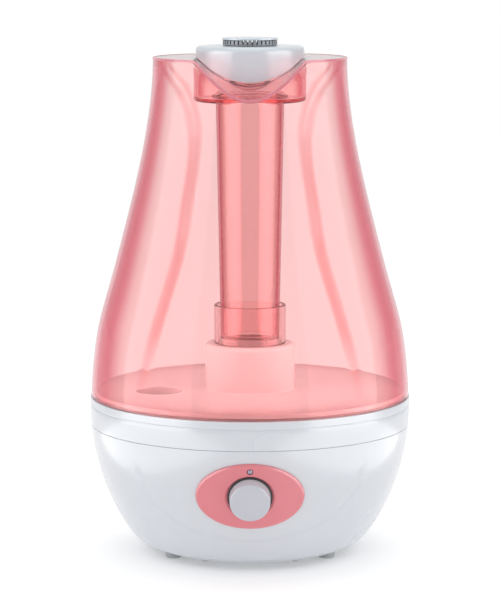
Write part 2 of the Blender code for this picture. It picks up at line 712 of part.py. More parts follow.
def bottom_cover(paint):
    top = COVER_LOW + COVER_THICKNESS
    radius = BOWL_BOTTOM_RADIUS - COVER_RIM - GAP
    outline = [(0, COVER_LOW), (radius, COVER_LOW), (radius, top), (0, top)]
    cover = turned("bottom_cover", outline, paint, BIG_SIDES)
    through = SCREW_RADIUS + SCREW_GAP
    places = around(CASE_SCREW_CIRCLE, CASE_SCREW_ANGLES)
    bm = rods([(p, COVER_LOW - CUT, top + CUT, through) for p in places])
    for k in range(GRILLE_SLOTS):
        x = (k - (GRILLE_SLOTS - 1) / 2) * GRILLE_PITCH
        reach = math.sqrt(GRILLE_RADIUS**2 - x**2)
        half = GRILLE_SLOT_WIDTH / 2
        low = (x - half, FAN_Y - reach, COVER_LOW - CUT)
        add_block(bm, low, (x + half, FAN_Y + reach, top + CUT))
    combine(cover, "DIFFERENCE", helper("intake_slots", bm))


def case_screws(paint):
    head_low = COVER_LOW - GAP - SCREW_HEAD_HEIGHT
    tip = FLANGE_LOW + FLANGE_THICKNESS + SCREW_BITE
    for k, place in enumerate(around(CASE_SCREW_CIRCLE, CASE_SCREW_ANGLES)):
        screw(f"case_screw_{k + 1}", place, head_low, tip, paint)


def feet(paint):
    outline = [
        (0, 0),
        (FOOT_RADIUS - FOOT_EDGE, 0),
        (FOOT_RADIUS, FOOT_EDGE),
        (FOOT_RADIUS, FOOT_HEIGHT),
        (0, FOOT_HEIGHT),
    ]
    for k, place in enumerate(around(FOOT_CIRCLE, FOOT_ANGLES)):
        turned(f"foot_{k + 1}", outline, paint, MID_SIDES, place)


# ---------------------------------------------------------------- control panel
def control_panel(paint):
    bm = bmesh.new()
    add_prism(bm, ellipse(PANEL_WIDTH, PANEL_TALL, MID_SIDES), -3 * BASE_WALL, 3 * BASE_WALL)
    panel = placed(finish_mesh("control_panel", bm, paint), wall_frame(PANEL_HEIGHT))
    share_high = base_share(PANEL_HEIGHT + PANEL_TALL / 2 + 2 * CUT)
    share_low = base_share(PANEL_HEIGHT - PANEL_TALL / 2 - 2 * CUT)
    side = along(base_curve, share_high, share_low, 8)
    outer = moved_in(side, -GAP - PANEL_THICKNESS)
    inner = moved_in(side, -GAP)
    skin = bmesh.new()
    add_turned(skin, [*outer, *reversed(inner)], BIG_SIDES)
    combine(panel, "INTERSECT", helper("panel_skin", skin))
    wall_hole(panel, "panel_knob_hole", PANEL_HEIGHT, KNOB_RADIUS + KNOB_RING_GAP)
    wall_hole(panel, "panel_led_hole", LED_HEIGHT, LED_RADIUS + GAP)
    return panel


def knob_outline():
    low, high = KNOB_LOW, KNOB_LOW + KNOB_LENGTH
    tip = KNOB_RADIUS - KNOB_DRAFT
    edge = arc((tip - KNOB_EDGE, high - KNOB_EDGE), KNOB_EDGE, 0, 90, 3)
    bore = SHAFT_RADIUS + GAP
    hub = bore + KNOB_HUB_WALL
    hub_low = GAP + NUT_THICKNESS + 2 * GAP + KNOB_WALL
    ceiling = high - KNOB_WALL
    return [
        (KNOB_RADIUS, low),
        *edge,
        (0, high),
        (0, ceiling),
        (bore, ceiling),
        (bore, hub_low),
        (hub, hub_low),
        (hub, ceiling),
        (tip - KNOB_WALL, ceiling),
        (KNOB_RADIUS - KNOB_WALL, low),
    ]


def control_knob(paints):
    frame = wall_frame(PANEL_HEIGHT)
    turned_knob = turned("knob", knob_outline(), paints["knob_grey"], MID_SIDES)
    placed(turned_knob, frame)
    top = KNOB_LOW + KNOB_LENGTH - KNOB_WALL - GAP
    low = -BASE_WALL - POT_BACK_GAP - POT_LENGTH + POT_BACK_WALL + RUNNING_GAP
    bm = bmesh.new()
    add_rod(bm, (0, 0), low, top, SHAFT_RADIUS, SMALL_SIDES)
    shaft = placed(finish_mesh("potentiometer_shaft", bm, paints["aluminium"]), frame)
    flat = bmesh.new()
    flat_low = NUT_THICKNESS + KNOB_WALL
    low = (-KNOB_RADIUS, SHAFT_RADIUS - SHAFT_FLAT, flat_low)
    add_block(flat, low, (KNOB_RADIUS, KNOB_RADIUS, top + CUT))
    combine(shaft, "DIFFERENCE", placed(helper("shaft_flat", flat), frame))
    turning = group("knob_axis", frame.translation, frame.to_3x3().to_4x4())
    parent_to(turning, [turned_knob, shaft])


def potentiometer(paints):
    frame = wall_frame(PANEL_HEIGHT)
    bore = SHAFT_RADIUS + RUNNING_GAP
    bushing = bore + BUSHING_WALL
    back = -BASE_WALL - POT_BACK_GAP
    outline = [
        (POT_RADIUS, back),
        (bushing, back),
        (bushing, GAP + NUT_THICKNESS + GAP),
        (bore, GAP + NUT_THICKNESS + GAP),
        (bore, back - POT_LENGTH + POT_BACK_WALL),
        (0, back - POT_LENGTH + POT_BACK_WALL),
        (0, back - POT_LENGTH),
        (POT_RADIUS, back - POT_LENGTH),
    ]
    placed(turned("potentiometer_body", outline, paints["black_plastic"], MID_SIDES), frame)
    bm = bmesh.new()
    hexagon = around(NUT_RADIUS, [k * math.tau / 6 for k in range(6)])
    add_prism(bm, hexagon, GAP, GAP + NUT_THICKNESS)
    nut = placed(finish_mesh("potentiometer_nut", bm, paints["brass"]), frame)
    hole = bmesh.new()
    add_rod(hole, (0, 0), -CUT, NUT_THICKNESS + CUT, bushing + GAP, SMALL_SIDES)
    combine(nut, "DIFFERENCE", placed(helper("nut_bore", hole), frame))


def indicator(paints):
    frame = wall_frame(LED_HEIGHT)
    front = GAP + PANEL_THICKNESS
    tip = front + LENS_STANDS_OUT
    outline = [(0, -BASE_WALL), (LED_RADIUS, -BASE_WALL), (LED_RADIUS, front)]
    outline += [(LED_RADIUS * DOME_SHARE, front + LENS_STANDS_OUT * DOME_SHARE), (0, tip)]
    placed(turned("indicator_lens", outline, paints["led_blue"], SMALL_SIDES), frame)
    top = -BASE_WALL - GAP
    flange = LED_RADIUS + LED_FLANGE
    low = top - LED_LENGTH
    outline = [(0, low), (flange, low), (flange, low + LED_BASE), (LED_RADIUS, low + LED_BASE)]
    shoulder = top - LED_RADIUS * ROUND_SHARE
    outline += [(LED_RADIUS, top - LED_RADIUS), (LED_RADIUS * DOME_SHARE, shoulder), (0, top)]
    placed(turned("indicator_led", outline, paints["glass"], SMALL_SIDES), frame)


def power_jack(paints):
    frame = wall_frame(JACK_HEIGHT, rear=True)
    face = JACK_SEAT + JACK_FLANGE
    floor = face - JACK_BORE_DEPTH
    outline = [
        (JACK_FLANGE_RADIUS, JACK_SEAT),
        (JACK_FLANGE_RADIUS, face),
        (JACK_BORE, face),
        (JACK_BORE, floor),
        (JACK_PIN_RADIUS, floor),
        (JACK_PIN_RADIUS, face - JACK_FLANGE),
        (0, face - JACK_FLANGE),
        (0, face - JACK_LENGTH),
        (JACK_RADIUS, face - JACK_LENGTH),
        (JACK_RADIUS, JACK_SEAT),
    ]
    placed(turned("power_jack", outline, paints["black_plastic"], SMALL_SIDES), frame)
    nut_top = -BASE_WALL - 2 * JACK_SEAT
    bore = JACK_RADIUS + GAP
    outline = [(bore, nut_top), (bore, nut_top - NUT_THICKNESS)]
    outline += [(JACK_FLANGE_RADIUS, nut_top - NUT_THICKNESS), (JACK_FLANGE_RADIUS, nut_top)]
    placed(turned("jack_nut", outline, paints["screw_steel"], SMALL_SIDES), frame)


# ---------------------------------------------------------------- transducer
def transducer(paints):
    place = (0.0, TRANSDUCER_Y)
    outline = [(0, DISC_LOW), (TRANSDUCER_RADIUS, DISC_LOW)]
    outline += [(TRANSDUCER_RADIUS, DISC_TOP), (0, DISC_TOP)]
    turned("transducer_disc", outline, paints["ceramic"], MID_SIDES, place)
    seal_low = SEAL_TOP - TRANSDUCER_SEAL
    outer = TRANSDUCER_SEAT_RADIUS - GAP
    outline = [(TRANSDUCER_WINDOW, seal_low), (outer, seal_low)]
    outline += [(outer, SEAL_TOP), (TRANSDUCER_WINDOW, SEAL_TOP)]
    turned("transducer_seal", outline, paints["silicone"], MID_SIDES, place)
    bore = TRANSDUCER_WINDOW - CLAMP_COLLAR
    collar_top = CLAMP_TOP + CLAMP_COLLAR
    rim = TRANSDUCER_SEAT_RADIUS
    outline = [(bore, CLAMP_LOW), (rim, CLAMP_LOW), (rim, CLAMP_TOP)]
    outline += [(TRANSDUCER_WINDOW, CLAMP_TOP), (TRANSDUCER_WINDOW, collar_top), (bore, collar_top)]
    clamp = turned("transducer_clamp", outline, paints["aluminium"], MID_SIDES, place)
    ears = bmesh.new()
    reach = CLAMP_EAR + CLAMP_EAR_WIDTH / 2
    half = CLAMP_EAR_WIDTH / 2
    for side in (-1, 1):
        near, far = sorted((side * (bore + CLAMP_COLLAR), side * reach))
        low = (near, TRANSDUCER_Y - half, CLAMP_LOW)
        add_block(ears, low, (far, TRANSDUCER_Y + half, CLAMP_TOP))
    combine(clamp, "UNION", helper("clamp_ears", ears))
    through = SCREW_RADIUS + SCREW_GAP
    holes = [(p, CLAMP_LOW - CUT, CLAMP_TOP + CUT, through) for p in clamp_ears()]
    cut_rods(clamp, "clamp_holes", holes)
    for k, place in enumerate(clamp_ears()):
        head_low = CLAMP_LOW - GAP - SCREW_HEAD_HEIGHT
        screw(f"clamp_screw_{k + 1}", place, head_low, BASIN_UNDER - GAP, paints["screw_steel"])


# ---------------------------------------------------------------- fan
def fan_frame(paints):
    half = FAN_SIDE / 2
    bm = bmesh.new()
    add_block(bm, (-half, FAN_Y - half, FAN_LOW), (half, FAN_Y + half, FAN_TOP))
    frame = finish_mesh("fan_frame", bm, paints["black_plastic"])
    through = SCREW_RADIUS + SCREW_GAP
    bore = bmesh.new()
    add_rod(bore, (0, FAN_Y), FAN_LOW - CUT, FAN_TOP + CUT, FAN_BORE, MID_SIDES)
    for place in fan_corners():
        add_rod(bore, place, FAN_LOW - CUT, FAN_TOP + CUT, through)
    combine(frame, "DIFFERENCE", helper("fan_bore", bore))
    back = bmesh.new()
    add_rod(back, (0, FAN_Y), FAN_LOW, FAN_LOW + FAN_BACK, FAN_HUB, MID_SIDES)
    combine(frame, "UNION", helper("fan_motor_seat", back))
    for k, reach in enumerate(((FAN_BORE + CUT, FAN_SPOKE / 2), (FAN_SPOKE / 2, FAN_BORE + CUT))):
        bar = bmesh.new()
        low = (-reach[0], FAN_Y - reach[1], FAN_LOW + GAP)
        add_block(bar, low, (reach[0], FAN_Y + reach[1], FAN_LOW + FAN_BACK - GAP))
        combine(frame, "UNION", helper(f"fan_spoke_{k + 1}", bar))
    for k, place in enumerate(fan_corners()):
        head_low = FAN_LOW - GAP - SCREW_HEAD_HEIGHT
        screw(f"fan_screw_{k + 1}", place, head_low, FAN_POST_LOW + SCREW_BITE, paints["screw_steel"])


def fan_rotor(paint):
    low = FAN_LOW + FAN_BACK + RUNNING_GAP
    high = FAN_TOP - RUNNING_GAP
    outline = [(0, low), (FAN_HUB, low), (FAN_HUB, high - FAN_HUB_EDGE)]
    outline += [(FAN_HUB - FAN_HUB_EDGE, high), (0, high)]
    rotor = turned("fan_rotor", outline, paint, MID_SIDES, (0.0, FAN_Y))
    blades = bmesh.new()
    middle = (low + high) / 2
    sections = ((FAN_HUB - FAN_BLADE_ROOT, FAN_ROOT_PITCH), (FAN_BORE - 2 * RUNNING_GAP, FAN_TIP_PITCH))
    for k in range(FAN_BLADES):
        turn = Matrix.Rotation(k * math.tau / FAN_BLADES, 4, "Z")
        rings = []
        for radius, pitch in sections:
            lean = Matrix.Rotation(pitch, 4, "X")
            chord, thick = FAN_BLADE_CHORD / 2, FAN_BLADE_THICKNESS / 2
            corners = [(0, -chord, -thick), (0, chord, -thick), (0, chord, thick), (0, -chord, thick)]
            shift = Vector((radius, 0, middle))
            rings.append([turn @ (shift + lean @ Vector(corner)) for corner in corners])
        add_section_loft(blades, rings)
    blade_helper = helper("fan_blades", blades)
    blade_helper.location = (0.0, FAN_Y, 0.0)
    combine(rotor, "UNION", blade_helper)


def air_duct(paint):
    half = FAN_SIDE / 2
    flange_top = DUCT_LOW + DUCT_FLANGE
    bm = bmesh.new()
    add_block(bm, (-half, FAN_Y - half, DUCT_LOW), (half, FAN_Y + half, flange_top))
    duct = finish_mesh("air_duct", bm, paint)
    sleeve_bore = AIR_RADIUS + GAP
    sleeve = sleeve_bore + DUCT_WALL
    sleeve_low = AIR_LOW - GAP
    sleeve_top = AIR_LOW + DUCT_SLEEVE
    cone_top = sleeve_low - DUCT_WALL
    mouth = FAN_BORE + DUCT_WALL
    outer = [(0, DUCT_LOW + GAP), (mouth, DUCT_LOW + GAP), (mouth, flange_top - GAP), (sleeve, cone_top)]
    outer += [(sleeve, sleeve_top), (0, sleeve_top)]
    body = bmesh.new()
    add_turned(body, outer, MID_SIDES, (0, FAN_Y))
    combine(duct, "UNION", helper("duct_cone", body))
    through = SCREW_RADIUS + SCREW_GAP
    hollow = rods([(p, DUCT_LOW - CUT, flange_top + CUT, through) for p in fan_corners()])
    inner = [(0, DUCT_LOW - CUT), (FAN_BORE, DUCT_LOW - CUT), (FAN_BORE, flange_top - DUCT_FLANGE / 2)]
    inner += [(AIR_RADIUS - AIR_WALL, cone_top), (AIR_RADIUS - AIR_WALL, sleeve_low)]
    inner += [(sleeve_bore, sleeve_low), (sleeve_bore, sleeve_top + CUT), (0, sleeve_top + CUT)]
    add_turned(hollow, inner, MID_SIDES, (0, FAN_Y))
    combine(duct, "DIFFERENCE", helper("duct_hollow", hollow))


# ---------------------------------------------------------------- driver board
def driver_board(paints):
    half_x, half_y = BOARD_SIZE[0] / 2, BOARD_SIZE[1] / 2
    bm = bmesh.new()
    add_block(bm, (BOARD_X - half_x, -half_y, BOARD_LOW), (BOARD_X + half_x, half_y, BOARD_TOP))
    board = finish_mesh("driver_board", bm, paints["board_green"])
    through = SCREW_RADIUS + SCREW_GAP
    holes = [(p, BOARD_LOW - CUT, BOARD_TOP + CUT, through) for p in board_corners()]
    cut_rods(board, "board_holes", holes)
    for k, place in enumerate(board_corners()):
        head_low = BOARD_LOW - GAP - SCREW_HEAD_HEIGHT
        screw(f"board_screw_{k + 1}", place, head_low, BOARD_TOP + SCREW_BITE, paints["screw_steel"])


def heatsink(paints):
    """A finned plate that stands down from the board, with the transistor on its flat side."""
    wide, deep, tall = HEATSINK_SIZE
    plate = HEATSINK_FIN * 1.5
    left = BOARD_X - wide / 2
    top = BOARD_LOW - GAP
    bm = bmesh.new()
    add_block(bm, (left, -deep / 2, top - tall), (left + plate, deep / 2, top))
    sink = finish_mesh("heatsink", bm, paints["aluminium"])
    fins = bmesh.new()
    pitch = (deep - HEATSINK_FIN) / (HEATSINK_FINS - 1)
    for k in range(HEATSINK_FINS):
        y = -deep / 2 + HEATSINK_FIN / 2 + k * pitch
        low = (left - HEATSINK_FIN_LENGTH, y - HEATSINK_FIN / 2 + GAP, top - tall + GAP)
        add_block(fins, low, (left + plate / 2, y + HEATSINK_FIN / 2 - GAP, top - GAP))
    combine(sink, "UNION", helper("heatsink_fins", fins))
    thick, across, high = TRANSISTOR_SIZE
    low = (left + plate + GAP, -across / 2, top - high - GAP)
    bm = bmesh.new()
    add_block(bm, low, (low[0] + thick, across / 2, top - GAP))
    finish_mesh("power_transistor", bm, paints["black_plastic"])


def board_parts(paints):
    top = BOARD_LOW - GAP
    inner_x = BOARD_X + BOARD_SIZE[0] / 2 - CAPACITOR_RADIUS - GAP
    spacing = 2 * CAPACITOR_RADIUS + 2 * GAP
    low = top - CAPACITOR_LENGTH
    outline = [(0, top), (CAPACITOR_RADIUS, top), (CAPACITOR_RADIUS, low), (0, low)]
    for k in range(2):
        place = (inner_x, (k + 0.5) * spacing)
        turned(f"capacitor_{k + 1}", outline, paints["capacitor_blue"], SMALL_SIDES, place)
    low = top - INDUCTOR_LENGTH
    outline = [(INDUCTOR_BORE, low), (INDUCTOR_RADIUS, low)]
    outline += [(INDUCTOR_RADIUS, top), (INDUCTOR_BORE, top)]
    place = (inner_x - GAP, -INDUCTOR_RADIUS - GAP)
    turned("inductor", outline, paints["ferrite"], SMALL_SIDES, place)


# ---------------------------------------------------------------- water level float
def water_float(paints):
    bore = FLOAT_POST_RADIUS + RUNNING_GAP
    top = FLOAT_LOW + FLOAT_HEIGHT
    outline = [
        (bore, FLOAT_LOW),
        (FLOAT_RADIUS - FLOAT_EDGE, FLOAT_LOW),
        (FLOAT_RADIUS, FLOAT_LOW + FLOAT_EDGE),
        (FLOAT_RADIUS, top - FLOAT_EDGE),
        (FLOAT_RADIUS - FLOAT_EDGE, top),
        (bore, top),
    ]
    turned("water_float", outline, paints["float_foam"], MID_SIDES, FLOAT_PLACE)
    inner = FLOAT_POST_RADIUS + GAP
    outer = inner + FLOAT_CLIP_WIDTH
    clip_top = FLOAT_CLIP_LOW + FLOAT_CLIP_THICKNESS
    outline = [(inner, FLOAT_CLIP_LOW), (outer, FLOAT_CLIP_LOW), (outer, clip_top), (inner, clip_top)]
    turned("float_clip", outline, paints["white_abs"], SMALL_SIDES, FLOAT_PLACE)
    reed_top = FLOAT_POST_TOP - BASE_WALL - GAP
    low = reed_top - REED_LENGTH
    outline = [(0, low), (REED_RADIUS, low), (REED_RADIUS, reed_top), (0, reed_top)]
    turned("reed_switch", outline, paints["glass"], SCREW_SIDES, FLOAT_PLACE)


# ---------------------------------------------------------------- tank
def add_scoop(bm, half_width, extra):
    """A trough along Y through the tank's top, deeper towards the front and the back."""
    reach = BASE_RADIUS
    above = TANK_TOP + COVER_RISE
    steps = 12
    sections = []
    for y in (-reach, -COVER_RADIUS, COVER_RADIUS, reach):
        floor = []
        for k in range(steps + 1):
            x = half_width * (2 * k / steps - 1)
            floor.append((x, y, TANK_TOP - scoop_depth(x, y, half_width, extra)))
        sections.append([*floor, (half_width, y, above), (-half_width, y, above)])
    add_section_loft(bm, sections)


def tank_shell(paint):
    side = along(tank_curve, 0.0, 1.0, 9)
    inside = moved_in(side, TANK_WALL)
    top_edge = arc((TANK_TOP_RADIUS - TANK_EDGE, TANK_TOP - TANK_EDGE), TANK_EDGE, 0, 90, 3)
    outline = [
        *side[:-1],
        *top_edge,
        (CUP_RADIUS, TANK_TOP),
        (CUP_RADIUS, CUP_FLOOR_TOP),
        (CHIMNEY_BORE, CUP_FLOOR_TOP),
        (CHIMNEY_BORE, CUP_FLOOR_TOP - TANK_WALL),
        (CHIMNEY_LOW_BORE, CHIMNEY_LOW),
        (CHIMNEY_LOW_BORE, TANK_LOW),
    ]
    shell = turned("tank_shell", outline, paint, BIG_SIDES)
    scoop = bmesh.new()
    add_scoop(scoop, SCOOP_HALF_WIDTH, 0.0)
    combine(shell, "DIFFERENCE", helper("scoop", scoop))
    ceiling = TANK_TOP - TANK_WALL
    under_cup = CUP_FLOOR_TOP - TANK_WALL
    cup_outside = CUP_RADIUS + TANK_WALL
    outline = [
        (inside[0].x, TANK_LOW - CUT),
        *inside[1:-1],
        (inside[-1].x, ceiling),
        (cup_outside, ceiling),
        (cup_outside, under_cup),
        (CHIMNEY_RADIUS, under_cup),
        (CHIMNEY_LOW_RADIUS, CHIMNEY_LOW),
        (CHIMNEY_LOW_BORE - CUT, CHIMNEY_LOW),
        (CHIMNEY_LOW_BORE - CUT, TANK_LOW - CUT),
    ]
    water = bmesh.new()
    add_turned(water, outline, BIG_SIDES)
    water_space = helper("water_space", water)
    wall_under = bmesh.new()
    add_scoop(wall_under, SCOOP_HALF_WIDTH + TANK_WALL, TANK_WALL)
    combine(water_space, "DIFFERENCE", helper("scoop_wall", wall_under))
    combine(shell, "DIFFERENCE", water_space)


def tank_floor(paint):
    outer = TANK_LOW_RADIUS - TANK_WALL - 2 * GAP
    bore = TOWER_RADIUS - TOWER_WALL
    seat = CHIMNEY_LOW_RADIUS + GAP
    collar = COLLAR_OUTER_RADIUS - COLLAR_TUBE_WALL
    seat_top = CHIMNEY_LOW - GAP
    skirt_low = FLOOR_LOW - TOWER_SKIRT
    locator_outer = LEDGE_RADIUS - TANK_WALL
    shoulder = arc((TOWER_RADIUS - TOWER_WALL, TOWER_TOP - TOWER_WALL), TOWER_WALL, 0, 90, 3)
    outline = [
        (outer, FLOOR_LOW),
        (outer, FLOOR_HEIGHT),
        (TOWER_RADIUS, FLOOR_HEIGHT),
        *shoulder,
        (COLLAR_OUTER_RADIUS, TOWER_TOP),
        (COLLAR_OUTER_RADIUS, TOWER_TOP + COLLAR_HEIGHT),
        (collar, TOWER_TOP + COLLAR_HEIGHT),
        (collar, TOWER_TOP),
        (seat, TOWER_TOP),
        (seat, seat_top),
        (CHIMNEY_LOW_BORE, seat_top),
        (CHIMNEY_LOW_BORE, TOWER_TOP - TOWER_WALL),
        (bore - TOWER_WALL, TOWER_TOP - TOWER_WALL),
        (bore, TOWER_TOP - 2 * TOWER_WALL),
        (bore, skirt_low),
        (TOWER_RADIUS, skirt_low),
        (TOWER_RADIUS, FLOOR_LOW),
        (locator_outer - LOCATOR_WIDTH, FLOOR_LOW),
        (locator_outer - LOCATOR_WIDTH, FLOOR_LOW - LOCATOR_HEIGHT),
        (locator_outer, FLOOR_LOW - LOCATOR_HEIGHT),
        (locator_outer, FLOOR_LOW),
    ]
    floor = turned("tank_floor", outline, paint, BIG_SIDES)
    neck_solid = bmesh.new()
    middle = (FLOOR_LOW + FLOOR_HEIGHT) / 2
    add_rod(neck_solid, FILLER_PLACE, FILLER_NECK_LOW, middle, FILLER_NECK_RADIUS, MID_SIDES)
    combine(floor, "UNION", helper("filler_neck", neck_solid))
    bore_solid = bmesh.new()
    add_rod(bore_solid, FILLER_PLACE, FILLER_NECK_LOW - CUT, FLOOR_HEIGHT + CUT, FILLER_BORE, MID_SIDES)
    combine(floor, "DIFFERENCE", helper("filler_bore", bore_solid))


def mist_pipe(paint):
    top = CUP_FLOOR_TOP + GAP + PIPE_FLANGE_THICKNESS
    low = CHIMNEY_LOW + PIPE_END_GAP
    upper = CHIMNEY_BORE - GAP
    lower = CHIMNEY_LOW_BORE - PIPE_LOW_CLEARANCE
    flange = upper + PIPE_FLANGE
    outline = [
        (lower, low),
        (upper, CUP_FLOOR_TOP - TANK_WALL),
        (upper, CUP_FLOOR_TOP + GAP),
        (flange, CUP_FLOOR_TOP + GAP),
        (flange, top),
        (upper - PIPE_WALL, top),
        (upper - PIPE_WALL, CUP_FLOOR_TOP - TANK_WALL),
        (lower - PIPE_WALL, low),
    ]
    turned("mist_pipe", outline, paint, BIG_SIDES)


# ---------------------------------------------------------------- filler cap and valve
def filler_cap(paint):
    radius = CAP_RADIUS
    bore = CAP_RADIUS - CAP_WALL
    top = FLOOR_LOW - CAP_FLOOR
    outline = [
        (0, CAP_UNDER),
        (radius, CAP_UNDER),
        (radius, top),
        (bore, top),
        (bore, CAP_FLOOR_TOP),
        (0, CAP_FLOOR_TOP),
    ]
    cap = turned("filler_cap", outline, paint, MID_SIDES, FILLER_PLACE)
    holes = [(FILLER_PLACE, CAP_UNDER - CUT, CAP_FLOOR_TOP + CUT, VALVE_PIN_RADIUS + RUNNING_GAP)]
    for offset in around(CAP_PORT_CIRCLE, [math.tau * k / CAP_PORTS for k in range(CAP_PORTS)]):
        holes.append((FILLER_PLACE + offset, CAP_UNDER - CUT, CAP_FLOOR_TOP + CUT, CAP_PORT_RADIUS))
    removed = rods(holes)
    notch = CAP_GRIP_DEPTH * 1.6
    grip_angles = [math.tau * (k + 0.5) / CAP_GRIPS for k in range(CAP_GRIPS)]
    for offset in around(radius + notch - CAP_GRIP_DEPTH, grip_angles):
        add_rod(removed, FILLER_PLACE + offset, CAP_UNDER - CUT, top + CUT, notch, 8)
    combine(cap, "DIFFERENCE", helper("cap_cuts", removed))


def filler_seal(paint):
    low = CAP_FLOOR_TOP + GAP
    high = low + SEAL_THICKNESS
    outline = [(FILLER_BORE, low), (FILLER_NECK_RADIUS, low)]
    outline += [(FILLER_NECK_RADIUS, high), (FILLER_BORE, high)]
    turned("filler_seal", outline, paint, MID_SIDES, FILLER_PLACE)


def valve_pin(paint):
    seal_top = VALVE_SEAL_LOW + VALVE_SEAL_THICKNESS
    head_low = seal_top + GAP
    head_top = head_low + VALVE_HEAD_THICKNESS
    outline = [
        (0, VALVE_FOOT_LOW),
        (VALVE_HEAD_RADIUS, VALVE_FOOT_LOW),
        (VALVE_HEAD_RADIUS, VALVE_FOOT_TOP),
        (VALVE_PIN_RADIUS, VALVE_FOOT_TOP),
        (VALVE_PIN_RADIUS, head_low),
        (VALVE_HEAD_RADIUS, head_low),
        (VALVE_HEAD_RADIUS, head_top),
        (0, head_top),
    ]
    turned("valve_pin", outline, paint, SMALL_SIDES, FILLER_PLACE)


def valve_seal(paint):
    inner = VALVE_PIN_RADIUS + GAP
    outer = CAP_PORT_CIRCLE + CAP_PORT_RADIUS + VALVE_SEAL_OVERLAP
    high = VALVE_SEAL_LOW + VALVE_SEAL_THICKNESS
    outline = [(inner, VALVE_SEAL_LOW), (outer, VALVE_SEAL_LOW), (outer, high), (inner, high)]
    turned("valve_seal", outline, paint, MID_SIDES, FILLER_PLACE)


def coil(name, place, low, high, radius, wire, turns, paint):
    """A round wire wound on a helix, as one closed tube."""
    count = turns * COIL_STEPS
    sections = []
    for k in range(count + 1):
        turn = math.tau * k / COIL_STEPS
        height = low + wire + (high - low - 2 * wire) * k / count
        out = Vector((math.cos(turn), math.sin(turn), 0))
        middle = out * radius + Vector((0, 0, height))
        section = []
        for j in range(COIL_SIDES):
            angle = math.tau * j / COIL_SIDES
            rise = Vector((0, 0, wire * math.sin(angle)))
            section.append(middle + out * wire * math.cos(angle) + rise)
        sections.append(section)
    bm = bmesh.new()
    add_section_loft(bm, sections)
    made = finish_mesh(name, bm, paint)
    made.location = (place[0], place[1], 0.0)


def valve_spring(paint):
    low, high = VALVE_FOOT_TOP + GAP, CAP_UNDER - GAP
    coil("valve_spring", FILLER_PLACE, low, high, SPRING_RADIUS, SPRING_WIRE, SPRING_TURNS, paint)


# ---------------------------------------------------------------- nozzle
def nozzle_cover(paint):
    """A lid over the cup, whose skirt reaches down into the scoops at the front and the back."""
    low = TANK_TOP - SCOOP_DEPTH - CUT
    under = COVER_TOP - COVER_WALL
    centre = (COVER_RADIUS - COVER_FILLET, COVER_TOP - COVER_FILLET)
    collar_low = COVER_TOP - COLLAR_DEPTH
    outline = [
        (COVER_RADIUS, low),
        *arc(centre, COVER_FILLET, 0, 90, 5),
        (OUTLET_RADIUS, COVER_TOP),
        (OUTLET_RADIUS, under),
        (COLLAR_RADIUS - COLLAR_WALL, under),
        (COLLAR_RADIUS - COLLAR_WALL, collar_low),
        (COLLAR_RADIUS, collar_low),
        (COLLAR_RADIUS, under),
        *reversed(arc(centre, COVER_FILLET - COVER_WALL, 0, 90, 3)),
        (COVER_RADIUS - COVER_WALL, low),
    ]
    cover = turned("nozzle_cover", outline, paint, BIG_SIDES)
    below = bmesh.new()
    steps = 16
    edge = []
    for k in range(steps + 1):
        x = SCOOP_HALF_WIDTH * (2 * k / steps - 1)
        edge.append((x, TANK_TOP + GAP - scoop_depth(x, 0.0)))
    reach = COVER_RADIUS + CUT
    edge += [(reach, TANK_TOP + GAP), (reach, low - CUT), (-reach, low - CUT), (-reach, TANK_TOP + GAP)]
    add_section_loft(below, [[(x, side * reach, z) for x, z in edge] for side in (-1, 1)])
    combine(cover, "DIFFERENCE", helper("cover_seat", below))


def nozzle_rotor(paints):
    low = COVER_TOP + GAP
    high = low + ROTOR_HEIGHT
    floor = low + ROTOR_FLOOR
    spigot = OUTLET_RADIUS - RUNNING_GAP
    bore = spigot - ROTOR_SPIGOT_WALL
    lip_top = COVER_TOP - COVER_WALL - RUNNING_GAP
    lip_low = lip_top - ROTOR_SPIGOT_WALL
    outline = [
        (bore, lip_low),
        (spigot, lip_low),
        (spigot + ROTOR_LIP, lip_top),
        (spigot, lip_top),
        (spigot, low),
        (ROTOR_RADIUS, low),
        (ROTOR_RADIUS, high),
        (ROTOR_RADIUS - ROTOR_RING, high),
        (ROTOR_RADIUS - ROTOR_RING, floor),
        (bore, floor),
    ]
    rotor = turned("nozzle_rotor", outline, paints["rotor_grey"], BIG_SIDES)
    slots = bmesh.new()
    for k in range(ROTOR_SLOTS):
        half = ROTOR_SLOT_WIDTH / 2
        near = ROTOR_RADIUS - ROTOR_RING - ROTOR_SPIGOT_WALL
        corners = [(near, -half), (ROTOR_RADIUS + CUT, -half), (ROTOR_RADIUS + CUT, half), (near, half)]
        turn = Matrix.Rotation((k + 0.5) * math.tau / ROTOR_SLOTS, 2)
        add_prism(slots, [turn @ Vector(corner) for corner in corners], floor + GAP, high + CUT)
    combine(rotor, "DIFFERENCE", helper("rotor_slots", slots))
    cap_low = high + GAP
    cap_top = cap_low + NOZZLE_CAP_THICKNESS
    cap = ROTOR_RADIUS + NOZZLE_CAP_OVERHANG
    outline = [(0, cap_low), (cap, cap_low), (cap, cap_top - NOZZLE_CAP_EDGE)]
    outline += [(cap - NOZZLE_CAP_EDGE, cap_top), (0, cap_top)]
    turned("nozzle_cap", outline, paints["nozzle_white"], BIG_SIDES)


# ---------------------------------------------------------------- assembly
def move_back():
    """Moves everything so that the origin is midway between the knob's front and the base's back."""
    face_radius = KNOB_RADIUS - KNOB_DRAFT - KNOB_EDGE
    front = wall_frame(PANEL_HEIGHT) @ Vector((0, face_radius, KNOB_LOW + KNOB_LENGTH))
    whole = bpy.data.objects.new("humidifier", None)
    bpy.context.scene.collection.objects.link(whole)
    for piece in bpy.data.objects:
        if piece.parent is None and piece != whole:
            piece.parent = whole
    whole.location.y = (-front.y - BASE_RADIUS) / 2


